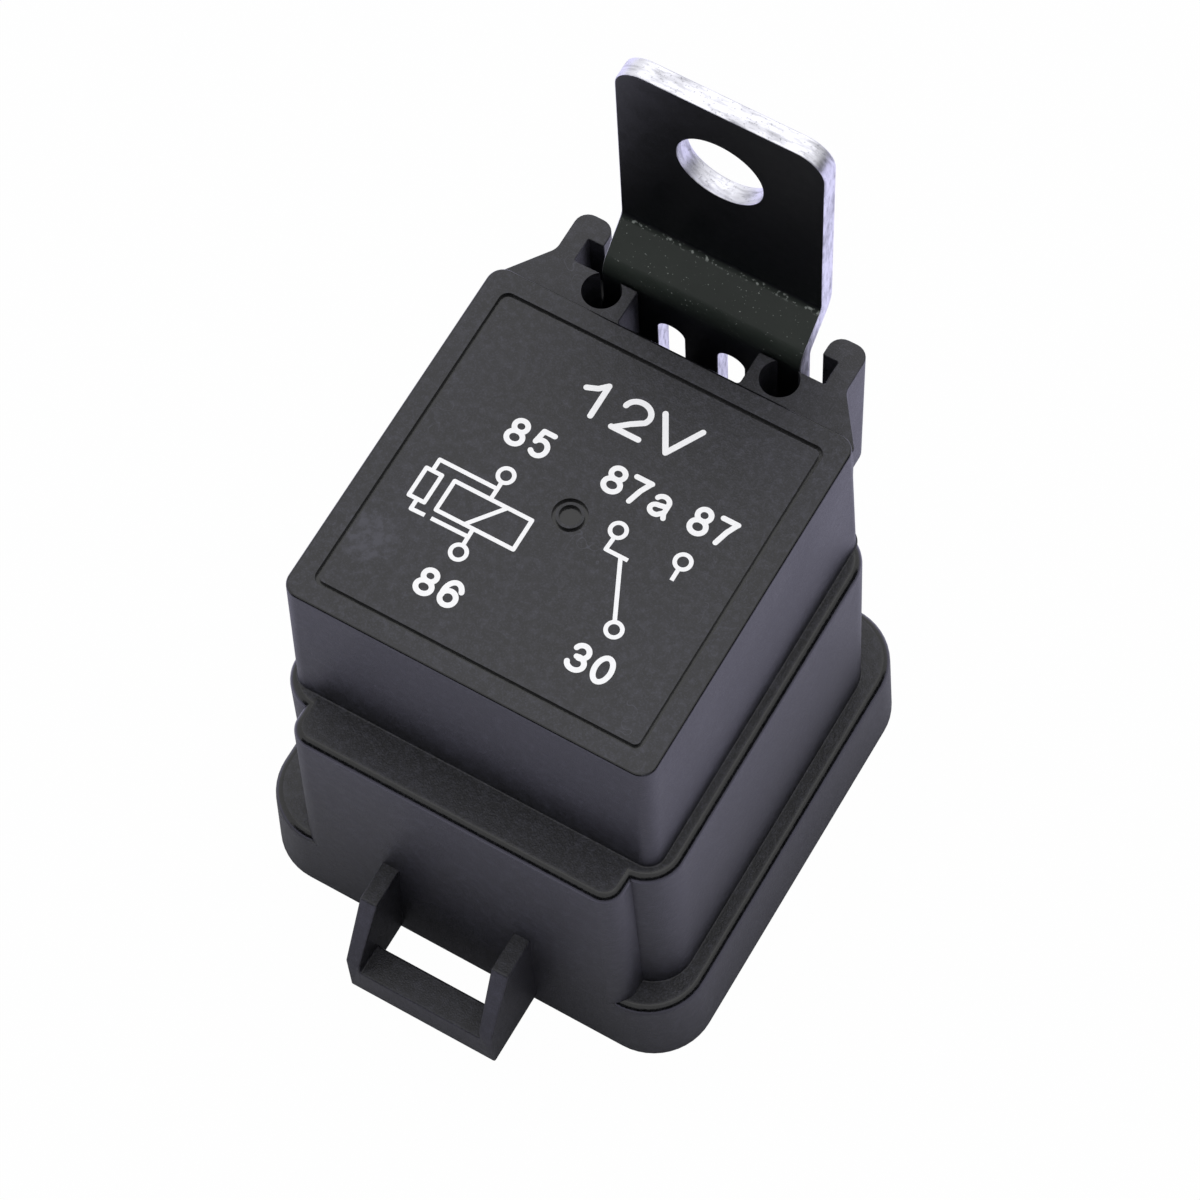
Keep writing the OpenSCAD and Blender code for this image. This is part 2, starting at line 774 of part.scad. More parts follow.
module bobbin() {
    half = flange_w / 2;
    bore = core_d + 0.1;
    color("#e6e2d6") translate([0, coil_y, 0]) difference() {
        union() {
            round_block(half, half, half, 1, bobbin_z, bobbin_z + flange_t);
            round_block(half, half, half, 1, bobbin_top - flange_t, bobbin_top);
            translate([0, 0, bobbin_z]) cylinder(d = bore + 2 * tube_t, h = bobbin_top - bobbin_z);
        }
        translate([0, 0, bobbin_z - cut]) cylinder(d = bore, h = bobbin_top - bobbin_z + 2 * cut);
    }
}

module coil_winding() {
    inner = core_d + 0.1 + 2 * (tube_t + fit_gap);
    low = bobbin_z + flange_t;
    color("#b5622d") translate([0, coil_y, low]) difference() {
        cylinder(d = winding_d, h = bobbin_top - flange_t - low);
        translate([0, 0, -cut]) cylinder(d = inner, h = bobbin_top);
    }
}

// End of the coil's wire: from the winding across to a terminal's finger,
// then round the finger
module coil_lead(side) {
    wrap_r = norm([finger_w, blade_t]) / 2 + lead_d / 2 + 0.05;
    pitch = lead_d * 1.3;
    z0 = finger_z + 0.6;
    start_y = finger_y - wrap_r;
    start_x = sqrt(pow(winding_d / 2 + lead_d / 2 + 0.03, 2) - pow(start_y - coil_y, 2));
    turn = [
        for (i = [0 : 36])
            let (a = i * 30)
                [coil_x - wrap_r * cos(a), finger_y + wrap_r * sin(a), z0 + pitch * a / 360]
    ];
    path = concat(
        [[start_x, start_y, z0 - 1.6], [coil_x - wrap_r, start_y, z0 - 0.2]],
        turn
    );
    color("#b5622d") on_side(side) wire(path, lead_d, [0, 0, 1], 6);
}

module coil_lead_85() {
    coil_lead(1);
}

module coil_lead_86() {
    coil_lead(-1);
}

// Resistor that damps the coil, on leads that pass through the two tabs
module suppression_resistor() {
    body_r = resistor_d / 2;
    half = resistor_l / 2;
    lead_half = coil_x + blade_t / 2 + 0.5;
    color("#c8b287") translate([0, resistor_y, resistor_z]) rotate([0, 90, 0])
        rotate_extrude() polygon([
            [0, -lead_half], [resistor_lead_d / 2, -lead_half], [resistor_lead_d / 2, -half],
            [body_r - 0.3, -half], [body_r, -half + 0.3], [body_r, -half + 1.3],
            [body_r - 0.15, -half + 1.6], [body_r - 0.15, half - 1.6], [body_r, half - 1.3],
            [body_r, half - 0.3], [body_r - 0.3, half], [resistor_lead_d / 2, half],
            [resistor_lead_d / 2, lead_half], [0, lead_half]
        ]);
}

// ---------------------------------------------------------------- armature

// Places of the rivets that hold the contact spring
function rivet_places() = [for (y = [coil_y - 3.5, coil_y + 1.5]) [0, y]];

module armature() {
    half = armature_w / 2;
    color("#8d9196") released() difference() {
        union() {
            box([-half, hinge_y, hinge_z], [half, coil_y + pole_d / 2 + 0.6, hinge_z + armature_t]);
            box([-1.8, hinge_y - tail_l, hinge_z], [1.8, hinge_y + eps, hinge_z + armature_t]);
        }
        for (p = rivet_places())
            translate([p[0], p[1], hinge_z - cut]) rivet_hole(armature_t + 2 * cut);
        box([-0.35, hinge_y - tail_l - cut, hinge_z - cut],
            [0.35, spring_y + 0.3, hinge_z + armature_t + cut]);
    }
}

module contact_spring() {
    z0 = hinge_z + armature_t;
    half = leaf_w / 2;
    color("#c98f4e") released() translate([0, 0, z0]) difference() {
        linear_extrude(leaf_t) {
            round_rect(-half, half, hinge_y + 3.4, coil_y + 4, 0.6);
            round_rect(-contact_d / 2 - 0.3, contact_d / 2 + 0.3, coil_y,
                contact_y + contact_d / 2 + 0.3, 0.8);
        }
        for (p = rivet_places()) translate([p[0], p[1], -cut]) rivet_hole(3 * cut);
        translate([0, contact_y, -cut]) rivet_hole(3 * cut);
    }
}

module armature_rivets() {
    z0 = hinge_z + armature_t + leaf_t;
    color("#b9bcc0") released() for (p = rivet_places()) translate([p[0], p[1], 0])
        rotate_extrude() polygon([
            [0, hinge_z + 0.1], [rivet_d / 2, hinge_z + 0.1], [rivet_d / 2, z0],
            [rivet_d / 2 + 0.6, z0], [rivet_d / 2 + 0.6, z0 + 0.3], [rivet_d / 2 + 0.2, z0 + 0.6],
            [0, z0 + 0.6]
        ]);
}

// Double contact: flat heads above and below the spring
module moving_contact() {
    z0 = hinge_z + armature_t;
    z1 = z0 + leaf_t;
    r = contact_d / 2;
    color("#d7d9dc") released() translate([0, contact_y, 0]) rotate_extrude() polygon([
        [0, z0 - contact_h], [r - 0.2, z0 - contact_h], [r, z0 - contact_h + 0.2], [r, z0],
        [rivet_d / 2, z0], [rivet_d / 2, z1], [r, z1], [r, z1 + contact_h - 0.2],
        [r - 0.2, z1 + contact_h], [0, z1 + contact_h]
    ]);
}

// Fixed contact: head that meets the moving one, shank through the tab
module fixed_contact() {
    r = contact_d / 2;
    rotate_extrude() polygon([
        [0, -blade_t], [rivet_d / 2, -blade_t], [rivet_d / 2, 0], [r, 0], [r, contact_h - 0.25],
        [r - 0.25, contact_h], [0, contact_h]
    ]);
}

module no_contact() {
    color("#d7d9dc") translate([0, contact_y, no_tab_z + blade_t]) fixed_contact();
}

module nc_contact() {
    color("#d7d9dc") translate([0, contact_y, nc_tab_z]) rotate([180, 0, 0]) fixed_contact();
}

// Tension spring that lifts the armature: hook, coils, hook
module return_spring() {
    mean_r = (spring_d - spring_wire) / 2;
    low = lug_z + lug_t + 0.5;
    tail_z = hinge_z - (hinge_y - spring_y) * tan(stroke_deg);
    high = tail_z - 0.5;
    top = tail_z + armature_t + 0.25;
    bottom = lug_z - 0.25;
    steps = 12;
    count = spring_turns * steps;
    coils = [
        for (i = [0 : count])
            let (a = 360 * i / steps, r = mean_r * min(1, i / steps, (count - i) / steps))
                [r * sin(a), spring_y + r * cos(a), low + (high - low) * i / count]
    ];
    path = concat(
        [[0, spring_y + 0.8, bottom], [0, spring_y + 0.2, bottom], [0, spring_y, bottom + 0.2]],
        coils,
        [[0, spring_y, top - 0.2], [0, spring_y + 0.2, top], [0, spring_y + 0.8, top]]
    );
    color("#b9bcc0") wire(path, spring_wire, [1, 0, 0], 6);
}

// Copper braid from the yoke's leg in a loop over the hinge to the spring
module shunt_braid() {
    r = braid_d / 2;
    x = leaf_w / 2 - r - 0.1;
    front = hinge_y - r - 0.15;
    loop_r = 2.4;
    rise = 1.9;
    turn_z = hinge_z + armature_t + 0.9;
    leaf_z = hinge_z + (armature_t + leaf_t) / cos(stroke_deg)
        + (front + 2 * loop_r + r - hinge_y) * tan(stroke_deg);
    path = concat(
        [for (i = [0 : 4]) [x, front, turn_z - 7 + 1.5 * i]],
        [for (a = [0 : 15 : 180]) [x, front + loop_r * (1 - cos(a)), turn_z + rise * sin(a)]],
        [[x, front + 2 * loop_r, leaf_z + 0.06]]
    );
    color("#c4703a") wire(path, braid_d, [1, 0, 0], 8);
}

// --------------------------------------------------------------- assembly

// Moves the part so that the origin is the middle of its footprint
module placed() {
    translate([0, shift_y, 0]) children();
}

placed() cover();
placed() mounting_bracket();
placed() base();
placed() potting_seal();
placed() terminal_30();
placed() terminal_85();
placed() terminal_86();
placed() terminal_87();
placed() terminal_87a();
placed() yoke();
placed() core();
placed() bobbin();
placed() coil_winding();
placed() coil_lead_85();
placed() coil_lead_86();
placed() suppression_resistor();
placed() armature();
placed() contact_spring();
placed() armature_rivets();
placed() moving_contact();
placed() no_contact();
placed() nc_contact();
placed() return_spring();
placed() shunt_braid();
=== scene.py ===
"""Looks of a skirted automotive relay with a clip-in steel bracket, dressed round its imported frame.

Lengths are in millimetres in the classes below, measured from the middle of the case and from
the rim of its skirt, and become metres in the shared frame when a mesh is made.
"""

from __future__ import annotations

import logging
from dataclasses import dataclass
from enum import Enum
from math import atan2, cos, hypot, pi, radians, sin, tan
from typing import Callable, Sequence

import bmesh
import bpy
from mathutils import Matrix, Vector
from mathutils.geometry import delaunay_2d_cdt

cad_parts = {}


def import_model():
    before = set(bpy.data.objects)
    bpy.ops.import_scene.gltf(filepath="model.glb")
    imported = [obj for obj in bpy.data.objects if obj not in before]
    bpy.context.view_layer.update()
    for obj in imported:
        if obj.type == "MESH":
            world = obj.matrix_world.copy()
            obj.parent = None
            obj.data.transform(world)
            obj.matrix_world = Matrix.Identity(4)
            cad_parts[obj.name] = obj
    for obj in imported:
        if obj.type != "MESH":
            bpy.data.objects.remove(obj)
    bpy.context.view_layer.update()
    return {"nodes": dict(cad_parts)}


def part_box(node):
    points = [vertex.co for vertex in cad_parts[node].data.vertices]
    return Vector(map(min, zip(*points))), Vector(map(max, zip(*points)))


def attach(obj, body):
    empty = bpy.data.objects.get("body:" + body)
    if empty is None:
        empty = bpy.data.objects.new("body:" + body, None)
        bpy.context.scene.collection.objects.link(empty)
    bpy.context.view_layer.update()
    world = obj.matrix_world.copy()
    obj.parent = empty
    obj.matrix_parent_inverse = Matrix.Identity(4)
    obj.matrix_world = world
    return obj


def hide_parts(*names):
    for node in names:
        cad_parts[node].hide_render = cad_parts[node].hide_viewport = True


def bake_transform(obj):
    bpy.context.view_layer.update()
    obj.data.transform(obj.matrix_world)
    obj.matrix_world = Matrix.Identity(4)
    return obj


LOG = logging.getLogger("relay")
MM = 0.001
STATIC = "relay"
ROUND = 2 * pi
Colour = tuple[float, float, float]
Point = tuple[float, float]
Points = Sequence[Sequence[float]]
Spot = tuple[float, float, float]
Thing = bpy.types.Object
Socket = bpy.types.NodeSocket


def srgb(code: str) -> Colour:
    """Returns the linear colour of a hexadecimal display colour."""
    parts = [int(code[i : i + 2], 16) / 255 for i in (0, 2, 4)]
    return tuple(v / 12.92 if v <= 0.04045 else ((v + 0.055) / 1.055) ** 2.4 for v in parts)


def add(name: str, data: bpy.types.ID) -> Thing:
    """Adds an object to the scene and returns it."""
    made = bpy.data.objects.new(name, data)
    bpy.context.scene.collection.objects.link(made)
    return made


def freeze(thing: Thing) -> None:
    """Turns an object's modifiers into its mesh."""
    bpy.context.view_layer.update()
    shown = thing.evaluated_get(bpy.context.evaluated_depsgraph_get())
    old, thing.data = thing.data, bpy.data.meshes.new_from_object(shown)
    thing.modifiers.clear()
    bpy.data.meshes.remove(old)


# ---- node trees


@dataclass(frozen=True)
class Value:
    """A number from a node, which can be used in sums."""

    graph: "Graph"
    socket: Socket

    def _sum(self, operation: str, first: object, second: object) -> "Value":
        """Returns first and second joined by one Math node."""
        made = self.graph.out("ShaderNodeMath", {0: first, 1: second}, {"operation": operation})
        return Value(self.graph, made)

    def __add__(self, other: object) -> "Value":
        """Returns self + other."""
        return self._sum("ADD", self, other)

    __radd__ = __add__

    def __sub__(self, other: object) -> "Value":
        """Returns self - other."""
        return self._sum("SUBTRACT", self, other)

    def __rsub__(self, other: object) -> "Value":
        """Returns other - self."""
        return self._sum("SUBTRACT", other, self)

    def __mul__(self, other: object) -> "Value":
        """Returns self * other."""
        return self._sum("MULTIPLY", self, other)

    __rmul__ = __mul__

    def __truediv__(self, other: object) -> "Value":
        """Returns self / other."""
        return self._sum("DIVIDE", self, other)

    def away(self, middle: float) -> "Value":
        """Returns how far the value lies from a middle, always positive."""
        made = self.graph.out("ShaderNodeMath", {0: self - middle}, {"operation": "ABSOLUTE"})
        return Value(self.graph, made)

    def over(self, limit: float, soft: float) -> "Value":
        """Returns a mask that rises from 0 to 1 as the value passes a limit.

        Args:
            limit: the value at the middle of the rise.
            soft: half the width of the rise.

        Returns:
            The mask, between 0 and 1.
        """
        inputs = {"Value": self, "From Min": limit - soft, "From Max": limit + soft}
        made = self.graph.out("ShaderNodeMapRange", inputs, {"interpolation_type": "SMOOTHSTEP"})
        return Value(self.graph, made)


class Graph:
    """A node tree under construction."""

    def __init__(self, tree: bpy.types.NodeTree) -> None:
        """Starts with an empty tree."""
        self.tree = tree
        tree.nodes.clear()

    def node(self, kind: str, inputs: dict | None = None, settings: dict | None = None) -> bpy.types.Node:
        """Adds one node.

        Args:
            kind: the node's type.
            inputs: values or links by the name or index of its sockets.
            settings: its properties, which are set first.

        Returns:
            The new node.
        """
        made = self.tree.nodes.new(kind)
        for name, value in (settings or {}).items():
            setattr(made, name, value)
        for name, value in (inputs or {}).items():
            socket = made.inputs[name]
            if isinstance(value, Value):
                value = value.socket
            if isinstance(value, Socket):
                self.tree.links.new(value, socket)
            elif isinstance(value, tuple) and len(value) == 3 and socket.type == "RGBA":
                socket.default_value = (*value, 1.0)
            else:
                socket.default_value = value
        return made

    def out(self, kind: str, inputs: dict | None = None, settings: dict | None = None) -> Socket:
        """Adds one node and returns its first output."""
        return self.node(kind, inputs, settings).outputs[0]

    def place(self) -> Socket:
        """Returns the object's own coordinates."""
        return self.node("ShaderNodeTexCoord").outputs["Object"]

    def rays(self, *kinds: str) -> Value:
        """Returns 1 for a ray of one of some kinds and 0 for any other."""
        path = self.node("ShaderNodeLightPath")
        total = Value(self, path.outputs[f"Is {kinds[0]} Ray"])
        for kind in kinds[1:]:
            total = total + Value(self, path.outputs[f"Is {kind} Ray"])
        return total

    def noise(self, scale: float, detail: float = 2.0, stretch: Sequence[float] = (1, 1, 1)) -> Value:
        """Returns noise on the object's own coordinates.

        Args:
            scale: cells in each metre.
            detail: how many finer layers it has.
            stretch: factor on the scale along each axis.
        """
        place = self.place()
        if tuple(stretch) != (1, 1, 1):
            place = self.out("ShaderNodeMapping", {"Vector": place, "Scale": tuple(stretch)})
        made = self.node("ShaderNodeTexNoise", {"Vector": place, "Scale": scale, "Detail": detail})
        return Value(self, made.outputs["Fac"])

    def near(self, point: Sequence[float], radius: float) -> Value:
        """Returns 1 close to a point of the object and 0 beyond a soft limit."""
        ends = {0: self.place(), 1: tuple(point)}
        apart = self.node("ShaderNodeVectorMath", ends, {"operation": "DISTANCE"})
        return 1 - Value(self, apart.outputs["Value"]).over(radius, radius * 0.5)

    def height(self) -> Value:
        """Returns how high a point lies above the skirt's rim, in metres."""
        return Value(self, self.node("ShaderNodeSeparateXYZ", {0: self.place()}).outputs["Z"])

    def blend(self, factor: object, first: object, second: object) -> Socket:
        """Returns the colour between first and second that the factor picks."""
        return self.node("ShaderNodeMix", {0: factor, 6: first, 7: second}, {"data_type": "RGBA"}).outputs[2]

    def bump(self, height: object, distance: float, strength: float = 1.0,
             below: Socket | None = None) -> Socket:
        """Returns a normal bent by a height.

        Args:
            height: the height, from 0 to 1.
            distance: how far height 1 stands out, in metres.
            strength: how much of it is used.
            below: the normal that it is added to.
        """
        inputs = {"Height": height, "Distance": distance, "Strength": strength}
        if below is not None:
            inputs["Normal"] = below
        return self.out("ShaderNodeBump", inputs)


# ---- finishes


@dataclass(frozen=True)
class Surface:
    """A material with one principled shader."""

    name: str

    def paint(self, graph: Graph) -> dict:
        """Draws the nodes and returns the shader's inputs."""
        raise NotImplementedError

    def make(self) -> bpy.types.Material:
        """Returns the new material."""
        made = bpy.data.materials.new(self.name)
        made.use_nodes = True
        graph = Graph(made.node_tree)
        shader = graph.out("ShaderNodeBsdfPrincipled", self.paint(graph))
        graph.node("ShaderNodeOutputMaterial", {"Surface": shader})
        return made


@dataclass(frozen=True)
class GrainedPlastic(Surface):
    """Matt moulded plastic with a fine spark-eroded grain."""

    tone: str = "121216"
    fleck: str = "3a3a43"
    grain: float = 8200.0
    depth: float = 0.00003
    gloss: float = 0.5
    roughness: float = 0.46
    rubbed: Spot = (-0.0108, -0.0066, 0.0414)

    def paint(self, graph: Graph) -> dict:
        """Draws flecks, soft clouds, light scuffs and the grain."""
        grain = graph.noise(self.grain, 2.0)
        mottle = graph.noise(self.grain / 5, 3.0)
        cloud = graph.noise(150.0, 3.0)
        fleck = grain.over(0.58, 0.13) * 0.55 + mottle.over(0.58, 0.16) * 0.35 + cloud.over(0.6, 0.25) * 0.2
        trace = graph.noise(520.0, 1.0)
        scratch = (1 - trace.away(0.5).over(0.004, 0.0025)) * graph.noise(210.0, 1.0).over(0.66, 0.04) * 0.8
        rub = graph.near(self.rubbed, 0.0016) * (mottle.over(0.5, 0.15) + scratch + 0.4) * 0.6
        colour = graph.blend(fleck + scratch + rub, srgb(self.tone), srgb(self.fleck))
        rough = (grain - 0.5) * 0.3 + (cloud - 0.5) * 0.12 + self.roughness
        return {
            "Base Color": colour,
            "Roughness": rough,
            "Specular IOR Level": self.gloss,
            "Normal": graph.bump(grain, self.depth, 0.9, graph.bump(mottle, 0.00003, 0.4)),
        }


@dataclass(frozen=True)
class Metal(Surface):
    """Rolled, turned or plated metal with fine lines and clouds."""

    tone: str
    worn: str
    roughness: float = 0.32
    lines: Spot = (1.0, 1.0, 0.06)
    grain: float = 4200.0
    depth: float = 0.000004

    def paint(self, graph: Graph) -> dict:
        """Draws rolling lines over slow stains."""
        lines = graph.noise(self.grain, 3.0, self.lines)
        stain = graph.noise(420.0, 4.0)
        colour = graph.blend(stain.over(0.55, 0.25) * 0.35, srgb(self.tone), srgb(self.worn))
        return {
            "Base Color": colour,
            "Metallic": 1.0,
            "Roughness": (lines - 0.5) * 0.22 + (stain - 0.5) * 0.1 + self.roughness,
            "Normal": graph.bump(lines, self.depth),
        }


@dataclass(frozen=True)
class ShearedSteel(Surface):
    """Bare edge of a steel strip, bright and torn by the shear."""

    tone: str = "e4e4ec"
    torn: str = "5c5c63"
    roughness: float = 0.38

    def paint(self, graph: Graph) -> dict:
        """Draws dark tears and pits over the bright edge."""
        tear = graph.noise(2400.0, 3.0, (0.35, 1.6, 0.35))
        pit = graph.noise(6000.0, 2.0).over(0.66, 0.05)
        burr = graph.noise(700.0, 3.0, (0.5, 1.4, 0.5)).over(0.57, 0.1)
        mask = tear.over(0.56, 0.12) * 0.3 + pit * 0.3 + burr * 0.3
        return {
            "Base Color": graph.blend(mask, srgb(self.tone), srgb(self.torn)),
            "Metallic": 1.0,
            "Roughness": (tear - 0.5) * 0.3 + self.roughness,
            "Normal": graph.bump(tear, 0.00005, 0.6, graph.bump(pit, 0.00002, 0.5)),
        }


@dataclass(frozen=True)
class CoatedSteel(Surface):
    """Black coat on steel strip, satin and slightly uneven, with a lighter tone painted on its upward incline
    as light and pale specks at the bend.
    """

    tone: str = "0b0c10"
    # Lighter, greener tone painted on the upward incline, standing in for the light that falls on it.
    bent: str = "2a302b"
    fleck: str = "b4bab4"
    bend_low: float = 0.0405
    bend_high: float = 0.0441
    roughness: float = 0.36

    def paint(self, graph: Graph) -> dict:
        """Draws the coat's orange peel, a lighter, greener tone on the incline, which is painted light, and
        pale specks, denser there and along the upper bend's crease.
        """
        peel = graph.noise(1100.0, 2.0)
        haze = graph.noise(240.0, 3.0)
        height = graph.height()
        # Painted light: from the lower bend up to the upper bend the coat turns lighter, as the incline looks
        # lit from above.
        lit_incline = height.over(self.bend_low, 0.0012) * (1 - height.over(self.bend_high, 0.0002))
        crease = height.over(self.bend_high - 0.0003, 0.0001) * (1 - height.over(self.bend_high, 0.0001))
        speck = graph.noise(5600.0, 2.0).over(0.72, 0.04) * (lit_incline * 0.5 + 0.1)
        crease_specks = graph.noise(2600.0, 3.0).over(0.6, 0.05) * crease * 0.6
        coat = graph.blend(lit_incline * (0.55 + haze * 0.5), srgb(self.tone), srgb(self.bent))
        return {
            "Base Color": graph.blend(speck + crease_specks, coat, srgb(self.fleck)),
            "Roughness": (peel - 0.5) * 0.2 + (haze - 0.5) * 0.12 + self.roughness,
            "Specular IOR Level": 0.5,
            "Normal": graph.bump(peel, 0.00001, 0.6, graph.bump(speck, 0.00001, 0.5)),
        }


@dataclass(frozen=True)
class Smooth(Surface):
    """Plain non-metal with slow clouds, such as resin, nylon, lacquer or ink."""

    tone: str
    cloud: str
    roughness: float = 0.35
    scale: float = 500.0
    depth: float = 0.000008

    def paint(self, graph: Graph) -> dict:
        """Draws the clouds and a slight unevenness."""
        cloud = graph.noise(self.scale, 3.0)
        inputs = {
            "Base Color": graph.blend(cloud.over(0.5, 0.3), srgb(self.tone), srgb(self.cloud)),
            "Roughness": (cloud - 0.5) * 0.2 + self.roughness,
            "Normal": graph.bump(cloud, self.depth),
        }
        return inputs


class Finish(Enum):
    """Every finish on the relay, by the piece or stock that it is for."""

    CASE = GrainedPlastic("case_plastic")
    # Darker tone: painted shade in the top's grooves and vent mark and along the rounded edges of the top,
    # ledges and skirt.
    EDGE = GrainedPlastic("case_edge_painted_shade", "08080a", "18181b", 8200.0, 0.000006, 0.5, 0.2)
    BASE = GrainedPlastic("base_plastic", "3b3c3f", "55565a", 3800.0)
    SEAL = Smooth("potting_resin", "0d0d0f", "1b1b1e", 0.28, 260.0, 0.00006)
    COAT = CoatedSteel("black_coat")
    BARE = ShearedSteel("sheared_steel")
    BRASS = Metal("terminal_brass", "c8a050", "9a7434", 0.3)
    YOKE = Metal("yoke_steel", "9da1a6", "7d8085", 0.34, (0.08, 1.0, 1.0))
    CORE = Metal("core_steel", "b0b3b7", "8d9095", 0.28, (1.0, 1.0, 0.05))
    NYLON = Smooth("bobbin_nylon", "d9d4c4", "c8c2b0", 0.42, 300.0)
    WIRE = Metal("enamelled_wire", "b4541c", "7e3410", 0.24, (1.0, 1.0, 1.0), 900.0)
    BRONZE = Metal("spring_bronze", "c48a44", "946028", 0.28, (1.0, 0.06, 1.0))
    PLATE = Metal("plated_steel", "b9bcc0", "8f9297", 0.26, (1.0, 1.0, 1.0), 1800.0)
    SILVER = Metal("contact_silver", "dcdee2", "b4b6bb", 0.22, (1.0, 1.0, 1.0), 2400.0)
    BRAID = Metal("braid_copper", "c06a34", "8a4520", 0.36, (1.0, 1.0, 1.0), 2600.0)
    LACQUER = Smooth("resistor_lacquer", "b9a27c", "a68f68", 0.3, 700.0)
    INK = Smooth("print_ink", "ffffff", "fafafa", 0.45, 1500.0, 0.000003)

    def get(self) -> bpy.types.Material:
        """Returns the finish's material, made at its first use."""
        return bpy.data.materials.get(self.value.name) or self.value.make()


# ---- modelling


@dataclass(frozen=True)
class Place:
    """Where the case's middle lies in the shared frame."""

    shift_y: float

    def matrix(self) -> Matrix:
        """Returns the turn from case millimetres to frame metres."""
        return Matrix.Scale(MM, 4) @ Matrix.Translation((0, self.shift_y, 0))

    def point(self, x: float, y: float, z: float) -> Spot:
        """Returns a point of the case in the frame."""
        return tuple(self.matrix() @ Vector((x, y, z)))


class Solid:
    """A closed mesh in case millimetres, shaped by booleans and bevels."""

    def __init__(self, name: str, points: Points, faces: Sequence[Sequence[int]]) -> None:
        """Makes the mesh from its points and faces."""
        mesh = bpy.data.meshes.new(name)
        mesh.from_pydata([tuple(p) for p in points], [], [tuple(f) for f in faces])
        work = bmesh.new()
        work.from_mesh(mesh)
        bmesh.ops.recalc_face_normals(work, faces=work.faces)
        work.to_mesh(mesh)
        work.free()
        self.object = add(name, mesh)

    def _boolean(self, operation: str, others: Sequence["Solid"]) -> "Solid":
        """Joins with or cuts by other solids, which are used up."""
        for other in others:
            made = self.object.modifiers.new("boolean", "BOOLEAN")
            made.operation = operation
            made.solver = "EXACT"
            made.object = other.object
        freeze(self.object)
        for other in others:
            bpy.data.objects.remove(other.object)
        return self

    def join(self, *others: "Solid") -> "Solid":
        """Adds other solids to this one."""
        return self._boolean("UNION", others)

    def cut(self, *others: "Solid") -> "Solid":
        """Takes other solids out of this one."""
        return self._boolean("DIFFERENCE", others)

    def keep(self, *others: "Solid") -> "Solid":
        """Keeps only what lies in the other solids too."""
        return self._boolean("INTERSECT", others)

    def bevel(self, width: float, segments: int = 3, angle: float = 40.0) -> "Solid":
        """Rounds every edge that is sharper than an angle in degrees."""
        made = self.object.modifiers.new("bevel", "BEVEL")
        made.width = width
        made.segments = segments
        made.limit_method = "ANGLE"
        made.angle_limit = radians(angle)
        made.use_clamp_overlap = True
        made.miter_outer = "MITER_ARC"
        freeze(self.object)
        return self

    def finish(
        self, place: Place, finishes: Sequence[Finish], body: str, slot: str,
        pick: Callable[[Vector, Vector], int] | None = None, smooth: float = 38.0,
    ) -> Thing:
        """Smooths the mesh, puts it into the frame and lets it ride.

        Args:
            place: where the case lies in the frame.
            finishes: the finishes of the mesh's material slots.
            body: the CAD body that it rides on.
            slot: not used.
            pick: chooses a face's finish from its middle, in millimetres, and its normal.
            smooth: the angle in degrees up to which edges look round.

        Returns:
            The finished object.
        """
        mesh = self.object.data
        work = bmesh.new()
        work.from_mesh(mesh)
        bmesh.ops.remove_doubles(work, verts=work.verts, dist=0.0005)
        bmesh.ops.dissolve_degenerate(work, edges=work.edges, dist=0.0005)
        work.to_mesh(mesh)
        work.free()
        mesh.materials.clear()
        for one in finishes:
            mesh.materials.append(one.get())
        for face in mesh.polygons:
            face.material_index = pick(face.center, face.normal) if pick else 0
        mesh.transform(place.matrix())
        mesh.shade_smooth()
        mesh.set_sharp_from_angle(angle=radians(smooth))
        made = self.object.modifiers.new("weighted", "WEIGHTED_NORMAL")
        made.keep_sharp = True
        made.weight = 100
        freeze(self.object)
        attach(self.object, body)
        return self.object


def prism(name: str, outline: Sequence[Point], low: float, high: float, axis: str = "Z") -> Solid:
    """Extrudes an outline along an axis.

    Args:
        name: the solid's name.
        outline: its corners; (x, y) for Z, (y, z) for X and (x, z) for Y.
        low: where it starts along the axis.
        high: where it ends.
        axis: X, Y or Z.

    Returns:
        The solid.
    """
    lay = {
        "Z": lambda a, b, c: (a, b, c), "X": lambda a, b, c: (c, a, b), "Y": lambda a, b, c: (a, c, b),
    }[axis]
    count = len(outline)
    points = [lay(a, b, c) for c in (low, high) for a, b in outline]
    sides = [(i, (i + 1) % count, count + (i + 1) % count, count + i) for i in range(count)]
    return Solid(name, points, [tuple(range(count)), tuple(range(count, 2 * count)), *sides])


def block(name: str, low: Sequence[float], high: Sequence[float]) -> Solid:
    """Returns a box between two corners."""
    (x0, y0, z0), (x1, y1, z1) = low, high
    return prism(name, [(x0, y0), (x1, y0), (x1, y1), (x0, y1)], z0, z1)


def circle(x: float, y: float, radius: float, sides: int = 48) -> list[Point]:
    """Returns the corners of a round outline."""
    return [(x + radius * cos(ROUND * i / sides), y + radius * sin(ROUND * i / sides)) for i in range(sides)]


def rounded_outline(corners: Sequence[Spot], steps: int = 6) -> list[Point]:
    """Rounds each corner of an outline by its own radius.

    Args:
        corners: (x, y, radius) of each corner in order.
        steps: steps round each corner.

    Returns:
        The outline's points.
    """
    made: list[Point] = []
    count = len(corners)
    for i, (x, y, radius) in enumerate(corners):
        here = Vector((x, y))
        before = (Vector(corners[i - 1][:2]) - here).normalized()
        after = (Vector(corners[(i + 1) % count][:2]) - here).normalized()
        half = before.angle(after) / 2
        if radius <= 0:
            made.append((x, y))
            continue
        middle = here + (before + after).normalized() * (radius / sin(half))
        start = here + before * (radius / tan(half)) - middle
        end = here + after * (radius / tan(half)) - middle
        turn = atan2(start.x * end.y - start.y * end.x, start.dot(end))
        for k in range(steps + 1):
            a = turn * k / steps
            made.append((middle.x + start.x * cos(a) - start.y * sin(a),
                         middle.y + start.x * sin(a) + start.y * cos(a)))
    return made


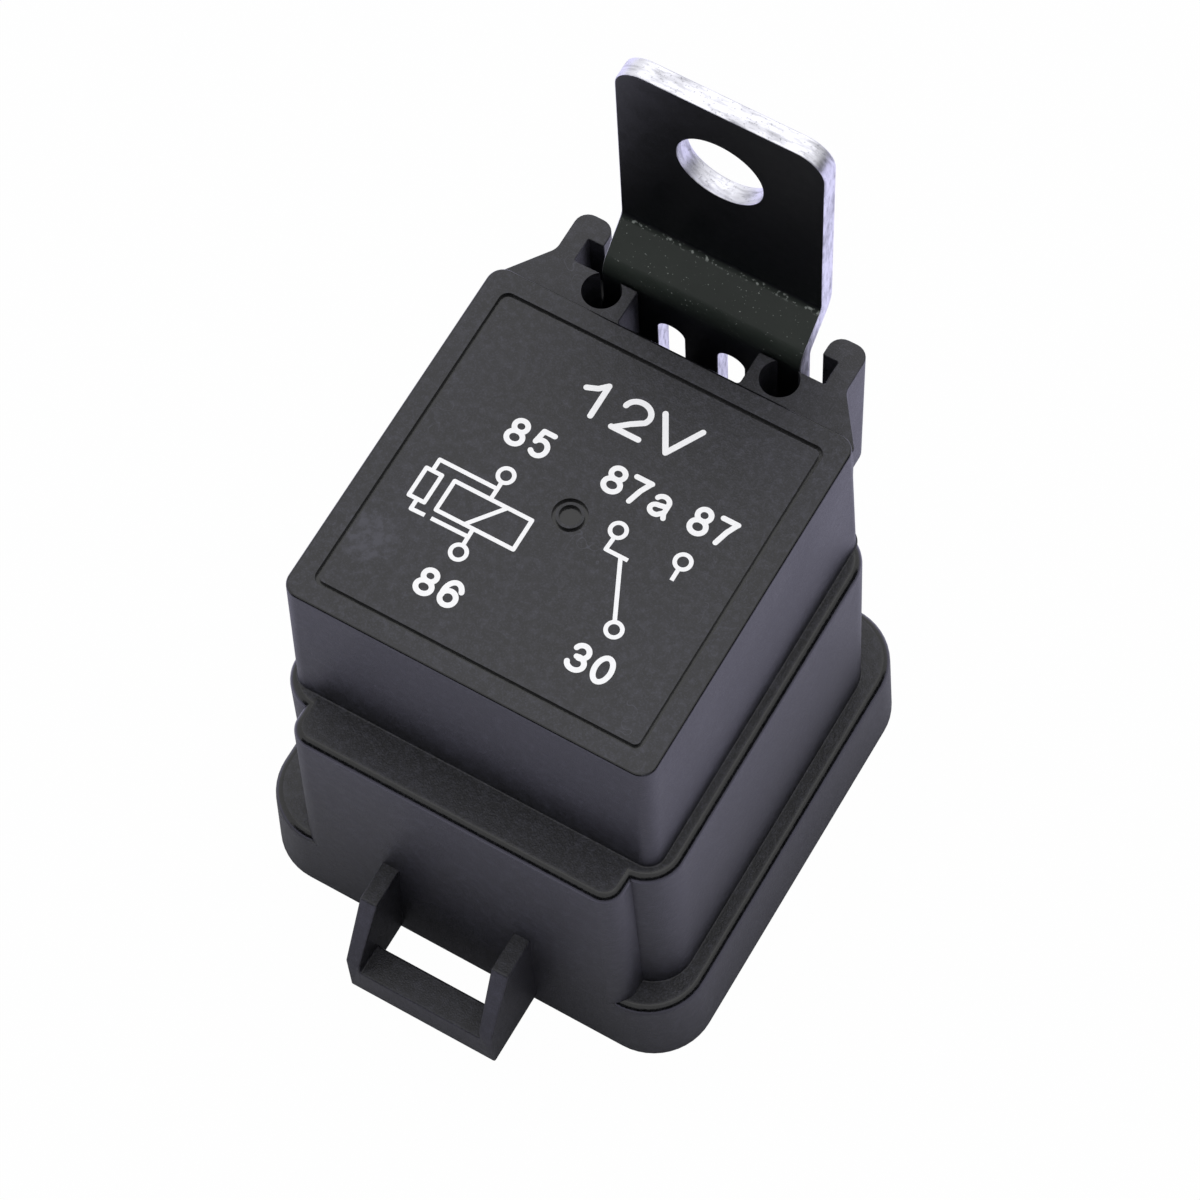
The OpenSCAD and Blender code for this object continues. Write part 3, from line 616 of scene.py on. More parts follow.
@dataclass(frozen=True)
class Level:
    """One level section of a stepped body: its height, its reach to the sides and its corner radius."""

    z: float
    half: float
    front: float
    back: float
    radius: float

    def ring(self, steps: int) -> list[Point]:
        """Returns the section's outline."""
        half, front, back = self.half, self.front, self.back
        corners = (-half, -front), (half, -front), (half, back), (-half, back)
        return rounded_outline([(x, y, self.radius) for x, y in corners], steps)

    def grown(self, out: float, z: float) -> "Level":
        """Returns the section at another height, with every side moved out."""
        return Level(z, self.half + out, self.front + out, self.back + out, max(self.radius + out, 0.05))

    def slab(self, high: float) -> Solid:
        """Returns the upright block from this section up to a height."""
        return prism("slab", self.ring(8), self.z, high)

    def top(self, fillet: float, steps: int = 7) -> list["Level"]:
        """Returns the sections that round a body's upper edge, with this one as its top."""
        turns = [pi / 2 * i / steps for i in range(steps + 1)]
        return [self.grown(-fillet * (1 - cos(a)), self.z - fillet + fillet * sin(a)) for a in turns]

    def foot(self, fillet: float, steps: int = 5) -> list["Level"]:
        """Returns the sections that round a wall's foot out into its ledge."""
        turns = [pi / 2 * i / steps for i in range(steps, -1, -1)]
        return [self.grown(fillet, self.z - 1),
                *[self.grown(fillet * (1 - cos(a)), self.z + fillet - fillet * sin(a)) for a in turns]]


def loft(name: str, levels: Sequence[Level], steps: int = 12, shift: float = 0.0) -> Solid:
    """Skins a stack of sections into one closed solid, moved sideways by a shift."""
    rings = [[(x + shift, y, level.z) for x, y in level.ring(steps)] for level in levels]
    count = len(rings[0])
    faces: list[tuple[int, ...]] = [tuple(range(count))]
    for i in range(len(rings) - 1):
        for k in range(count):
            a, b = i * count + k, i * count + (k + 1) % count
            faces.append((a, b, b + count, a + count))
    faces.append(tuple(range((len(rings) - 1) * count, len(rings) * count)))
    return Solid(name, [p for ring in rings for p in ring], faces)


# ---- cover


@dataclass
class Cover:
    """The moulded cover: stepped walls, skirt, blocks, loop and bracket holder."""

    place: Place
    top_z: float = 41.4
    top_half: float = 14.0
    foot_half: float = 14.4
    rim: float = 0.24
    corner: float = 1.25
    ledge_z: float = 26.9
    mid_half: float = 15.65
    mid_front: float = 15.6
    shift: float = 0.25
    back_wall: float = 14.4
    skirt_z: float = 8.1
    skirt_half: float = 17.9
    front_face: float = 18.0
    skirt_back: float = 17.2
    draft: float = 0.35
    wall: float = 1.6
    block_half: float = 12.95
    block_draft: float = 0.7
    back_block_half: float = 13.4
    back_block_y: float = 16.4
    ledge_fillet: float = 0.75
    foot_fillet: float = 0.12
    mid_corner: float = 3.0
    skirt_corner: float = 4.6
    groove_inset: float = 1.55
    groove_radius: float = 0.7
    groove_width: float = 0.3
    mark_depth: float = 0.3
    vent_mark: Spot = (1.24, 0.97, 0.76)
    lug_x: float = 2.35
    lug: tuple[float, float, float, float] = (18.35, 29.1, 32.7, 0.75)
    loop_half: float = 6.1
    loop_front: float = 24.2
    loop_low: float = 0.8
    loop_high: float = 11.6
    arm: float = 1.4
    arm_draft: float = 0.5
    holder_z: float = 40.6
    holder_low: float = 26.4
    plate_y: float = 17.3
    channel_y: float = 19.0
    ear_y: float = 20.8
    ear_half: float = 11.25
    lip_half: float = 8.5
    channel_half: float = 9.7
    pocket_half: float = 4.7
    pocket_y: float = 14.3

    def front_at(self, z: float) -> float:
        """Returns how far the sloping front wall stands out at one height."""
        return self.front_face + self.draft * (1 - z / self.ledge_z)

    def body(self) -> Solid:
        """Returns the stepped body without loop and holder."""
        fillet, shift, half = self.ledge_fillet, self.shift, self.mid_half - self.shift
        low, foot, top = self.ledge_z, self.foot_half, self.top_half
        upper = loft("cover", [*Level(low, foot, foot, foot, self.corner).foot(self.foot_fillet),
                               *Level(self.top_z, top, top, top, self.corner).top(self.rim)])
        round_mid, round_skirt = self.mid_corner, self.skirt_corner
        skirt_front = self.front_at(self.skirt_z - fillet)
        splayed = Level(self.skirt_z, half + 0.3, self.mid_front + 0.2, self.back_wall, round_mid)
        middle = loft("middle", [
            *splayed.foot(self.foot_fillet),
            *Level(low, half, self.mid_front, self.back_wall, round_mid).top(fillet)], shift=shift)
        skirt = loft("skirt", [
            Level(0, self.skirt_half, self.front_at(0), self.skirt_back, round_skirt),
            *Level(self.skirt_z, self.skirt_half - self.draft, skirt_front, self.skirt_back,
                   round_skirt).top(fillet)])
        front = loft("front", [
            Level(self.wall, self.block_half + self.block_draft, self.front_at(self.wall), 0, 1.6),
            *Level(low, self.block_half, self.front_at(low - fillet), 0, 1.6).top(fillet)], shift=shift)
        back = loft("back", [Level(self.wall, self.back_block_half, 0, self.back_block_y, 2.0),
                             *Level(low, self.back_block_half, 0, self.back_block_y, 2.0).top(fillet)])
        return upper.join(middle, skirt, front, back)

    def loop(self) -> Solid:
        """Returns the locking loop: two cheeks and a cross bar."""
        root, low, high = -self.front_face + 0.6, self.loop_low, self.loop_high
        side = [(root, low), (-self.loop_front, low), (-self.loop_front, 5.6), (-21.3, high), (root, high)]
        gap = self.loop_half - self.arm
        wide = gap + self.arm_draft
        outline = [(-wide, -1), (wide, -1), (wide, low), (gap, high),
                   (gap, 14), (-gap, 14), (-gap, high), (-wide, low)]
        window = prism("window", outline, -30, root + 1, "Y")
        bar = block("bar", (-wide, -self.loop_front, low), (wide, -self.loop_front + 2.5, 4.4))
        return prism("cheeks", side, -self.loop_half, self.loop_half, "X").cut(window).join(bar).bevel(0.2, 3)

    def holder(self) -> Solid:
        """Returns the two ears with their channels, pocket and round holes."""
        front, tip = self.plate_y - 0.2, 1.05
        half = [
            (self.pocket_half, self.pocket_y, 0.3), (self.pocket_half, front, 0.15),
            (self.channel_half, front, 0.1), (self.channel_half, self.channel_y, 0.1),
            (self.lip_half, self.channel_y, 0.1), (self.lip_half, self.ear_y, tip),
            (self.ear_half, self.ear_y, tip), (self.ear_half, self.plate_y, 1.2),
            (13.8, 13.8, 0.4), (13.8, 12.6, 0),
        ]
        mirrored = [(-x, y, r) for x, y, r in reversed(half)]
        low, thick = self.holder_low, self.holder_low + 0.8
        ears = prism("holder", rounded_outline(half + mirrored, 6), low, self.holder_z).bevel(0.18, 3, 50)
        floor = block("floor", (-9.9, 12.6, low), (9.9, front + 0.1, thick))
        ledges = [block("ledge", (a, front - 0.2, low), (b, self.channel_y + 0.1, thick))
                  for a, b in ((-9.9, -8.8), (8.8, 9.9))]
        holes = [prism("hole", circle(x, front - 1.15, 1.4), 31.2, 45) for x in (-6.9, 6.9)]
        return ears.join(floor, *ledges).cut(*holes)

    def rooms(self) -> list[Solid]:
        """Returns the hollows inside the cover."""
        wall = self.wall
        mid, low, front = self.mid_half - wall, self.skirt_half - wall, self.front_face - wall
        return [
            Level(25, 12.6, 12.6, 12.6, 1.0).slab(39.9),
            Level(6, mid, self.mid_front - wall, 13.0, 1.4).slab(25.3),
            Level(-1, low, front, self.skirt_back - wall, 3.0).slab(self.skirt_z - wall),
            Level(6, self.block_half - wall, front, 0, 1.0).slab(11.6),
        ]

    def top_marks(self) -> list[Solid]:
        """Returns the groove round the top panel and the vent mark."""
        outer, width = self.top_half - self.groove_inset, self.groove_width
        inner, depth = outer - width, self.top_z - self.mark_depth
        rim, hollow, dimple = self.vent_mark
        groove = Level(depth, outer, outer, outer, self.groove_radius).slab(43).cut(
            Level(depth - 1, inner, inner, inner, self.groove_radius - width).slab(44))
        ring = prism("ring", circle(0, 0, rim, 64), depth, 43)
        ring.cut(prism("inner", circle(0, 0, hollow, 64), 40, 44))
        return [groove, ring, prism("dimple", circle(0, 0, dimple, 48), depth, 43)]

    def lugs(self) -> list[Solid]:
        """Returns the two ramps that snap into the bracket's slots."""
        y, (tip, low, high, half) = self.pocket_y, self.lug
        side = [(y - 0.3, low), (tip, low), (y, high), (y - 0.3, high)]
        return [prism("lug", side, x - half, x + half, "X") for x in (-self.lug_x, self.lug_x)]

    def finish_at(self, middle: Vector, normal: Vector) -> int:
        """Returns 1 for a rounded upper edge or a groove, which get a smoother finish whose darker tone is
        painted shade, and 0 elsewhere.
        """
        aside = max(abs(middle.x), abs(middle.y))
        if self.top_z - 0.4 < middle.z < self.top_z - 0.05 and aside < self.top_half - 1:
            return 1
        near = min(abs(middle.z - z + reach / 2) / reach for z, reach in (
            (self.top_z, self.rim), (self.ledge_z, self.ledge_fillet), (self.skirt_z, self.ledge_fillet)))
        return int(near <= 0.5 and aside > self.top_half - self.rim and 0.2 < normal.z < 0.97)

    def build(self) -> Thing:
        """Builds the whole cover and returns it."""
        shell = self.body().join(self.holder(), self.loop())
        shell.cut(*self.rooms(), *self.top_marks()).join(*self.lugs())
        made = shell.finish(self.place, [Finish.CASE, Finish.EDGE], STATIC, "black_plastic", self.finish_at)
        made.name = "moulded_cover"
        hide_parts("cover")
        return made


# ---- top print


@dataclass
class Stroke:
    """A run of print of even width."""

    points: list[Point]
    round_ends: bool = False
    closed: bool = False


class Glyph:
    """Figures drawn as strokes in a box one unit wide and one unit high."""

    @staticmethod
    def arc(cx: float, cy: float, rx: float, ry: float, start: float, end: float,
            steps: int = 16) -> list[Point]:
        """Returns points along part of an ellipse, angles in degrees."""
        count = steps if end - start == 360 else steps + 1
        angles = [radians(start + (end - start) * i / steps) for i in range(count)]
        return [(cx + rx * cos(a), cy + ry * sin(a)) for a in angles]

    @classmethod
    def strokes(cls, sign: str) -> list[Stroke]:
        """Returns the strokes of one figure."""
        arc = cls.arc
        table: dict[str, list[Stroke]] = {
            "0": [Stroke(arc(0.5, 0.5, 0.5, 0.5, 0, 360, 40), closed=True)],
            "1": [Stroke([(0.82, 0.0), (0.82, 1.0)]), Stroke([(0.82, 1.0), (0.48, 0.8), (0.0, 0.68)])],
            "2": [Stroke(arc(0.5, 0.68, 0.46, 0.32, 172, -32, 20) + [(0.5, 0.3), (0.06, 0.0)]),
                  Stroke([(0.0, 0.0), (1.0, 0.0)])],
            "3": [Stroke(arc(0.47, 0.74, 0.42, 0.26, 165, -90, 18)),
                  Stroke(arc(0.47, 0.26, 0.5, 0.27, 90, -165, 20)),
                  Stroke([(0.32, 0.51), (0.5, 0.51)])],
            "5": [Stroke([(0.95, 1.0), (0.22, 1.0), (0.08, 0.5)]),
                  Stroke([(0.08, 0.5)] + arc(0.48, 0.32, 0.5, 0.33, 135, -138, 24))],
            "6": [Stroke(arc(0.5, 0.3, 0.48, 0.3, 0, 360, 32), closed=True),
                  Stroke(arc(0.56, 0.5, 0.54, 0.5, 28, 200, 20))],
            "7": [Stroke([(0.0, 1.0), (1.0, 1.0)]), Stroke([(0.97, 1.0), (0.62, 0.55), (0.36, 0.0)])],
            "8": [Stroke(arc(0.5, 0.76, 0.42, 0.24, 0, 360, 28), closed=True),
                  Stroke(arc(0.5, 0.26, 0.5, 0.27, 0, 360, 32), closed=True)],
            "a": [Stroke(arc(0.48, 0.72, 0.4, 0.28, 160, 0, 16) + [(0.88, 0.2), (1.0, 0.0)]),
                  Stroke([(0.88, 0.58), (0.4, 0.5), *arc(0.38, 0.25, 0.38, 0.25, 100, 300, 16),
                          (0.88, 0.28)])],
            "V": [Stroke([(0.0, 1.0), (0.5, 0.0), (1.0, 1.0)])],
        }
        return table[sign]


@dataclass(frozen=True)
class Label:
    """A printed figure: its sign, the box that it fills and its line width."""

    sign: str
    left: float
    right: float
    low: float
    high: float
    line: float


@dataclass
class TopPrint:
    """Terminal numbers, voltage and wiring diagram on the top face."""

    place: Place
    top_z: float = 41.4
    thickness: float = 0.012
    line: float = 0.3
    small: float = 0.37
    bold: float = 0.385
    big: float = 0.42
    ring: float = 0.55

    def labels(self) -> list[Label]:
        """Returns every printed figure."""
        bold, big = self.bold, self.big
        rows = (
            ("1", -4.05, -2.05, 6.8, 9.75, big), ("2", -1.15, 1.35, 6.8, 9.75, big),
            ("V", 1.55, 4.85, 6.85, 9.8, big),
            ("8", -6.9, -5.4, 2.5, 4.7, bold), ("5", -5.05, -3.55, 2.5, 4.7, bold),
            ("8", -6.5, -5.0, -9.85, -7.7, bold), ("6", -4.7, -3.2, -9.85, -7.7, bold),
            ("8", 0.5, 2.05, 2.6, 4.8, bold), ("7", 2.25, 3.8, 2.6, 4.8, bold),
            ("a", 4.1, 5.65, 2.6, 4.4, self.small),
            ("8", 7.0, 8.5, 2.7, 4.95, bold), ("7", 8.75, 10.25, 2.75, 4.95, bold),
            ("3", 4.95, 6.5, -9.7, -7.5, bold), ("0", 6.75, 8.25, -9.7, -7.5, bold),
        )
        return [Label(*row) for row in rows]

    def diagram(self) -> list[Stroke]:
        """Returns the lines of the wiring diagram."""
        def ring(x: float, y: float) -> Stroke:
            """Returns a terminal's circle."""
            return Stroke(circle(x, y, self.ring, 32), closed=True)

        def box(x0: float, y0: float, x1: float, y1: float) -> Stroke:
            """Returns a rectangle."""
            return Stroke([(x0, y0), (x1, y0), (x1, y1), (x0, y1)], closed=True)

        return [
            ring(-5.17, 0.43), ring(-5.04, -5.93), ring(3.34, 0.59), ring(8.19, 0.68), ring(6.69, -5.76),
            box(-7.94, -4.0, -1.99, -1.57), Stroke([(-5.76, -4.0), (-3.85, -1.57)]),
            box(-10.08, -3.92, -8.89, -1.64),
            Stroke([(-9.62, -1.64), (-9.62, -0.7), (-5.17, -0.7)]), Stroke([(-5.17, -0.09), (-5.17, -1.57)]),
            Stroke([(-9.43, -3.92), (-9.43, -4.73), (-8.38, -4.7)]), Stroke([(-7.9, -4.69), (-5.07, -4.66)]),
            Stroke([(-5.07, -4.0), (-5.04, -5.41)]),
            Stroke([(3.36, 0.07), (3.3, -1.0), (4.98, -1.0)]), Stroke([(4.43, -1.0), (6.42, -5.2)]),
            Stroke([(8.19, 0.16), (8.19, -0.85)]),
        ]

    def polygons(self, stroke: Stroke, width: float) -> list[list[Point]]:
        """Returns the convex shapes that a stroke is made of."""
        made: list[list[Point]] = []
        points = stroke.points
        pairs = list(zip(points, points[1:] + points[:1])) if stroke.closed else list(zip(points, points[1:]))
        half = width / 2
        for (x0, y0), (x1, y1) in pairs:
            size = hypot(x1 - x0, y1 - y0) or 1.0
            dx, dy = (x1 - x0) / size * half, (y1 - y0) / size * half
            made.append([(x0 + dy, y0 - dx), (x1 + dy, y1 - dx), (x1 - dy, y1 + dx), (x0 - dy, y0 + dx)])
        joints = points if stroke.closed or stroke.round_ends else points[1:-1]
        made.extend(circle(x, y, half, 14) for x, y in joints)
        return made

    def build(self) -> Thing:
        """Builds all print as one thin raised mesh."""
        groups: list[list[list[Point]]] = []
        for label in self.labels():
            half = label.line / 2
            wide, high = label.right - label.left - label.line, label.high - label.low - label.line
            shapes: list[list[Point]] = []
            for stroke in Glyph.strokes(label.sign):
                points = [(label.left + half + x * wide, label.low + half + y * high)
                          for x, y in stroke.points]
                shapes += self.polygons(Stroke(points, True, stroke.closed), label.line)
            groups.append(shapes)
        groups.append([shape for stroke in self.diagram() for shape in self.polygons(stroke, self.line)])
        ink = bmesh.new()
        for shapes in groups:
            points = [Vector(p) for shape in shapes for p in shape]
            faces, start = [], 0
            for shape in shapes:
                faces.append(list(range(start, start + len(shape))))
                start += len(shape)
            out_points, _, out_faces, _, _, sources = delaunay_2d_cdt(points, [], faces, 1, 1e-5, True)
            verts = [ink.verts.new((p.x, p.y, self.top_z)) for p in out_points]
            for face, source in zip(out_faces, sources):
                if source:
                    ink.faces.new([verts[i] for i in face])
        loose = [v for v in ink.verts if not v.link_faces]
        bmesh.ops.delete(ink, geom=loose, context="VERTS")
        lifted = bmesh.ops.extrude_face_region(ink, geom=ink.faces[:])
        for item in lifted["geom"]:
            if isinstance(item, bmesh.types.BMVert):
                item.co.z += self.thickness
        bmesh.ops.recalc_face_normals(ink, faces=ink.faces)
        mesh = bpy.data.meshes.new("top_print")
        ink.to_mesh(mesh)
        ink.free()
        mesh.transform(self.place.matrix())
        mesh.materials.append(Finish.INK.get())
        made = add("top_print", mesh)
        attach(made, STATIC)
        return made


# ---- bracket


@dataclass
class Bracket:
    """The bent and punched steel strip, black coated before its edges were sheared."""

    place: Place
    thickness: float = 1.5
    half: float = 7.7
    wing_half: float = 9.5
    low_z: float = 27.4
    wing_top: float = 36.0
    top_z: float = 62.8
    plate_y: float = 17.3
    upper_y: float = 20.2
    joggle: float = 2.9
    joggle_z: float = 44.1
    bend: float = 1.0
    corner: float = 2.1
    slot_x: float = 2.35
    slot: tuple[float, float, float, float] = (28.8, 37.4, 1.05, 1.04)
    hole_z: float = 55.8
    hole_radius: float = 3.2

    def side(self) -> list[Point]:
        """Returns the strip's outline seen from the side."""
        outer, slope = self.bend + self.thickness, tan(pi / 8)
        low = (self.plate_y + outer, self.joggle_z - self.joggle - outer * slope)
        high = (self.upper_y - self.bend, self.joggle_z + self.bend * slope)
        steps = 10

        def arc(middle: Point, radius: float, start: float, end: float) -> list[Point]:
            """Returns points round a bend."""
            return Glyph.arc(*middle, radius, radius, start, end, steps)

        back = self.upper_y + self.thickness
        return [
            (self.plate_y, self.low_z - 1), *arc(low, outer, 180, 135), *arc(high, self.bend, -45, 0),
            (self.upper_y, self.top_z + 1), (back, self.top_z + 1), *arc(high, outer, 0, -45),
            *arc(low, self.bend, 135, 180), (self.plate_y + self.thickness, self.low_z - 1),
        ]

    def face(self) -> list[Point]:
        """Returns the strip's outline seen from the front."""
        half, wing = self.half, self.wing_half
        right = [(wing, self.low_z, 0.6), (wing, self.wing_top, 0.6), (half, self.wing_top, 0.3),
                 (half, self.top_z, self.corner)]
        return rounded_outline([*right, *[(-x, z, r) for x, z, r in reversed(right)]], 10)

    def finish_at(self, middle: Vector, normal: Vector) -> int:
        """Returns 1 for a face that was sheared through the coat and 0 for a coated one."""
        if middle.z < self.wing_top + 2.5 and abs(middle.x) > self.half - 0.5:
            return 0
        straight = middle.z > self.joggle_z + 1.5 or middle.z < self.joggle_z - self.joggle - 2.5
        return int(abs(normal.x) > 0.35 or (abs(normal.y) < 0.85 and straight))

    def build(self) -> Thing:
        """Builds the bracket and returns it."""
        strip = prism("bracket", self.side(), -12, 12, "X").keep(prism("face", self.face(), 10, 30, "Y"))
        cuts = [prism("hole", circle(0, self.hole_z, self.hole_radius, 72), 10, 30, "Y")]
        low, high, half, r = self.slot
        for x in (-self.slot_x, self.slot_x):
            slot = [(x - half, low, r), (x + half, low, r), (x + half, high, r), (x - half, high, r)]
            cuts.append(prism("slot", rounded_outline(slot, 10), 10, 30, "Y"))
        strip.cut(*cuts).bevel(0.12, 3, 50)
        made = strip.finish(self.place, [Finish.COAT, Finish.BARE], STATIC, "black_coated_steel",
                            self.finish_at)
        made.name = "steel_bracket"
        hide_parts("mounting_bracket")
        return made


# ---- wound wire


class WireTrees:
    """Geometry Nodes that wind, twist or bend wire."""

    @staticmethod
    def start(name: str, sizes: dict[str, str]) -> tuple[Graph, dict[str, Value], Socket]:
        """Starts a tree with named inputs.

        Args:
            name: the tree's name.
            sizes: the kind of socket of each input.

        Returns:
            The graph, its inputs by name and the geometry that comes in.
        """
        tree = bpy.data.node_groups.new(name, "GeometryNodeTree")
        tree.interface.new_socket("Geometry", in_out="INPUT", socket_type="NodeSocketGeometry")
        for size, kind in sizes.items():
            tree.interface.new_socket(size, in_out="INPUT", socket_type=kind)
        tree.interface.new_socket("Geometry", in_out="OUTPUT", socket_type="NodeSocketGeometry")
        graph = Graph(tree)
        entry = graph.node("NodeGroupInput")
        return graph, {size: Value(graph, entry.outputs[size]) for size in sizes}, entry.outputs["Geometry"]

    @staticmethod
    def end(graph: Graph, curve: Socket, profile: Socket, stuff: Value) -> None:
        """Sweeps a profile along a curve and ends the tree."""
        swept = {"Curve": curve, "Profile Curve": profile, "Fill Caps": True}
        made = graph.out("GeometryNodeCurveToMesh", swept)
        made = graph.out("GeometryNodeSetShadeSmooth", {0: made})
        made = graph.out("GeometryNodeRealizeInstances", {0: made})
        made = graph.out("GeometryNodeSetMaterial", {"Geometry": made, "Material": stuff})
        graph.node("NodeGroupOutput", {0: made})

    @classmethod
    def helix(cls) -> bpy.types.NodeTree:
        """Returns the tree of an even helix round Z."""
        graph, size, _ = cls.start("wound_wire", {
            "Turns": "NodeSocketFloat", "Radius": "NodeSocketFloat", "Height": "NodeSocketFloat",
            "Wire": "NodeSocketFloat", "Middle": "NodeSocketVector", "Finish": "NodeSocketMaterial"})
        spiral = graph.out("GeometryNodeCurveSpiral", {
            "Resolution": 36, "Rotations": size["Turns"], "Start Radius": size["Radius"],
            "End Radius": size["Radius"], "Height": size["Height"]})
        moved = graph.out("GeometryNodeTransform", {0: spiral, "Translation": size["Middle"]})
        profile = graph.out("GeometryNodeCurvePrimitiveCircle", {"Resolution": 6, "Radius": size["Wire"]})
        cls.end(graph, moved, profile, size["Finish"])
        return graph.tree

    @classmethod
    def strands(cls) -> bpy.types.NodeTree:
        """Returns the tree of one or more strands twisted along a path."""
        graph, size, path = cls.start("stranded_wire", {
            "Strands": "NodeSocketInt", "Wire": "NodeSocketFloat", "Lay": "NodeSocketFloat",
            "Twist": "NodeSocketFloat", "Points": "NodeSocketInt", "Finish": "NodeSocketMaterial"})
        curve = graph.out("GeometryNodeMeshToCurve", {0: path})
        curve = graph.out("GeometryNodeCurveSplineType", {0: curve}, {"spline_type": "CATMULL_ROM"})
        curve = graph.out("GeometryNodeResampleCurve", {"Curve": curve, "Count": size["Points"]})
        along = Value(graph, graph.node("GeometryNodeSplineParameter").outputs["Factor"])
        curve = graph.out("GeometryNodeSetCurveTilt", {0: curve, "Tilt": along * size["Twist"]})
        turn = Value(graph, graph.out("GeometryNodeInputIndex")) / size["Strands"] * ROUND
        offset = graph.out("ShaderNodeCombineXYZ", {0: size["Lay"]})
        spot = graph.out("ShaderNodeVectorRotate", {"Vector": offset, "Angle": turn})
        spots = graph.out("GeometryNodePoints", {"Count": size["Strands"], "Position": spot})
        strand = graph.out("GeometryNodeCurvePrimitiveCircle", {"Resolution": 8, "Radius": size["Wire"]})
        spread = graph.out("GeometryNodeInstanceOnPoints", {"Points": spots, "Instance": strand})
        cls.end(graph, curve, graph.out("GeometryNodeRealizeInstances", {0: spread}), size["Finish"])
        return graph.tree

    @staticmethod
    def grow(name: str, tree: bpy.types.NodeTree, sizes: dict[str, object], path: Points = ()) -> Thing:
        """Runs a tree once and keeps its result as a plain mesh.

        Args:
            name: the new piece's name.
            tree: the Geometry Nodes tree.
            sizes: its inputs by name.
            path: the points in metres that it follows.

        Returns:
            The new piece.
        """
        mesh = bpy.data.meshes.new(name)
        mesh.from_pydata([tuple(p) for p in path], [(i, i + 1) for i in range(len(path) - 1)], [])
        made = add(name, mesh)
        grower = made.modifiers.new("grow", "NODES")
        grower.node_group = tree
        for item in tree.interface.items_tree:
            if item.in_out == "INPUT" and item.name in sizes:
                grower[item.identifier] = sizes[item.name]
        freeze(made)
        return made


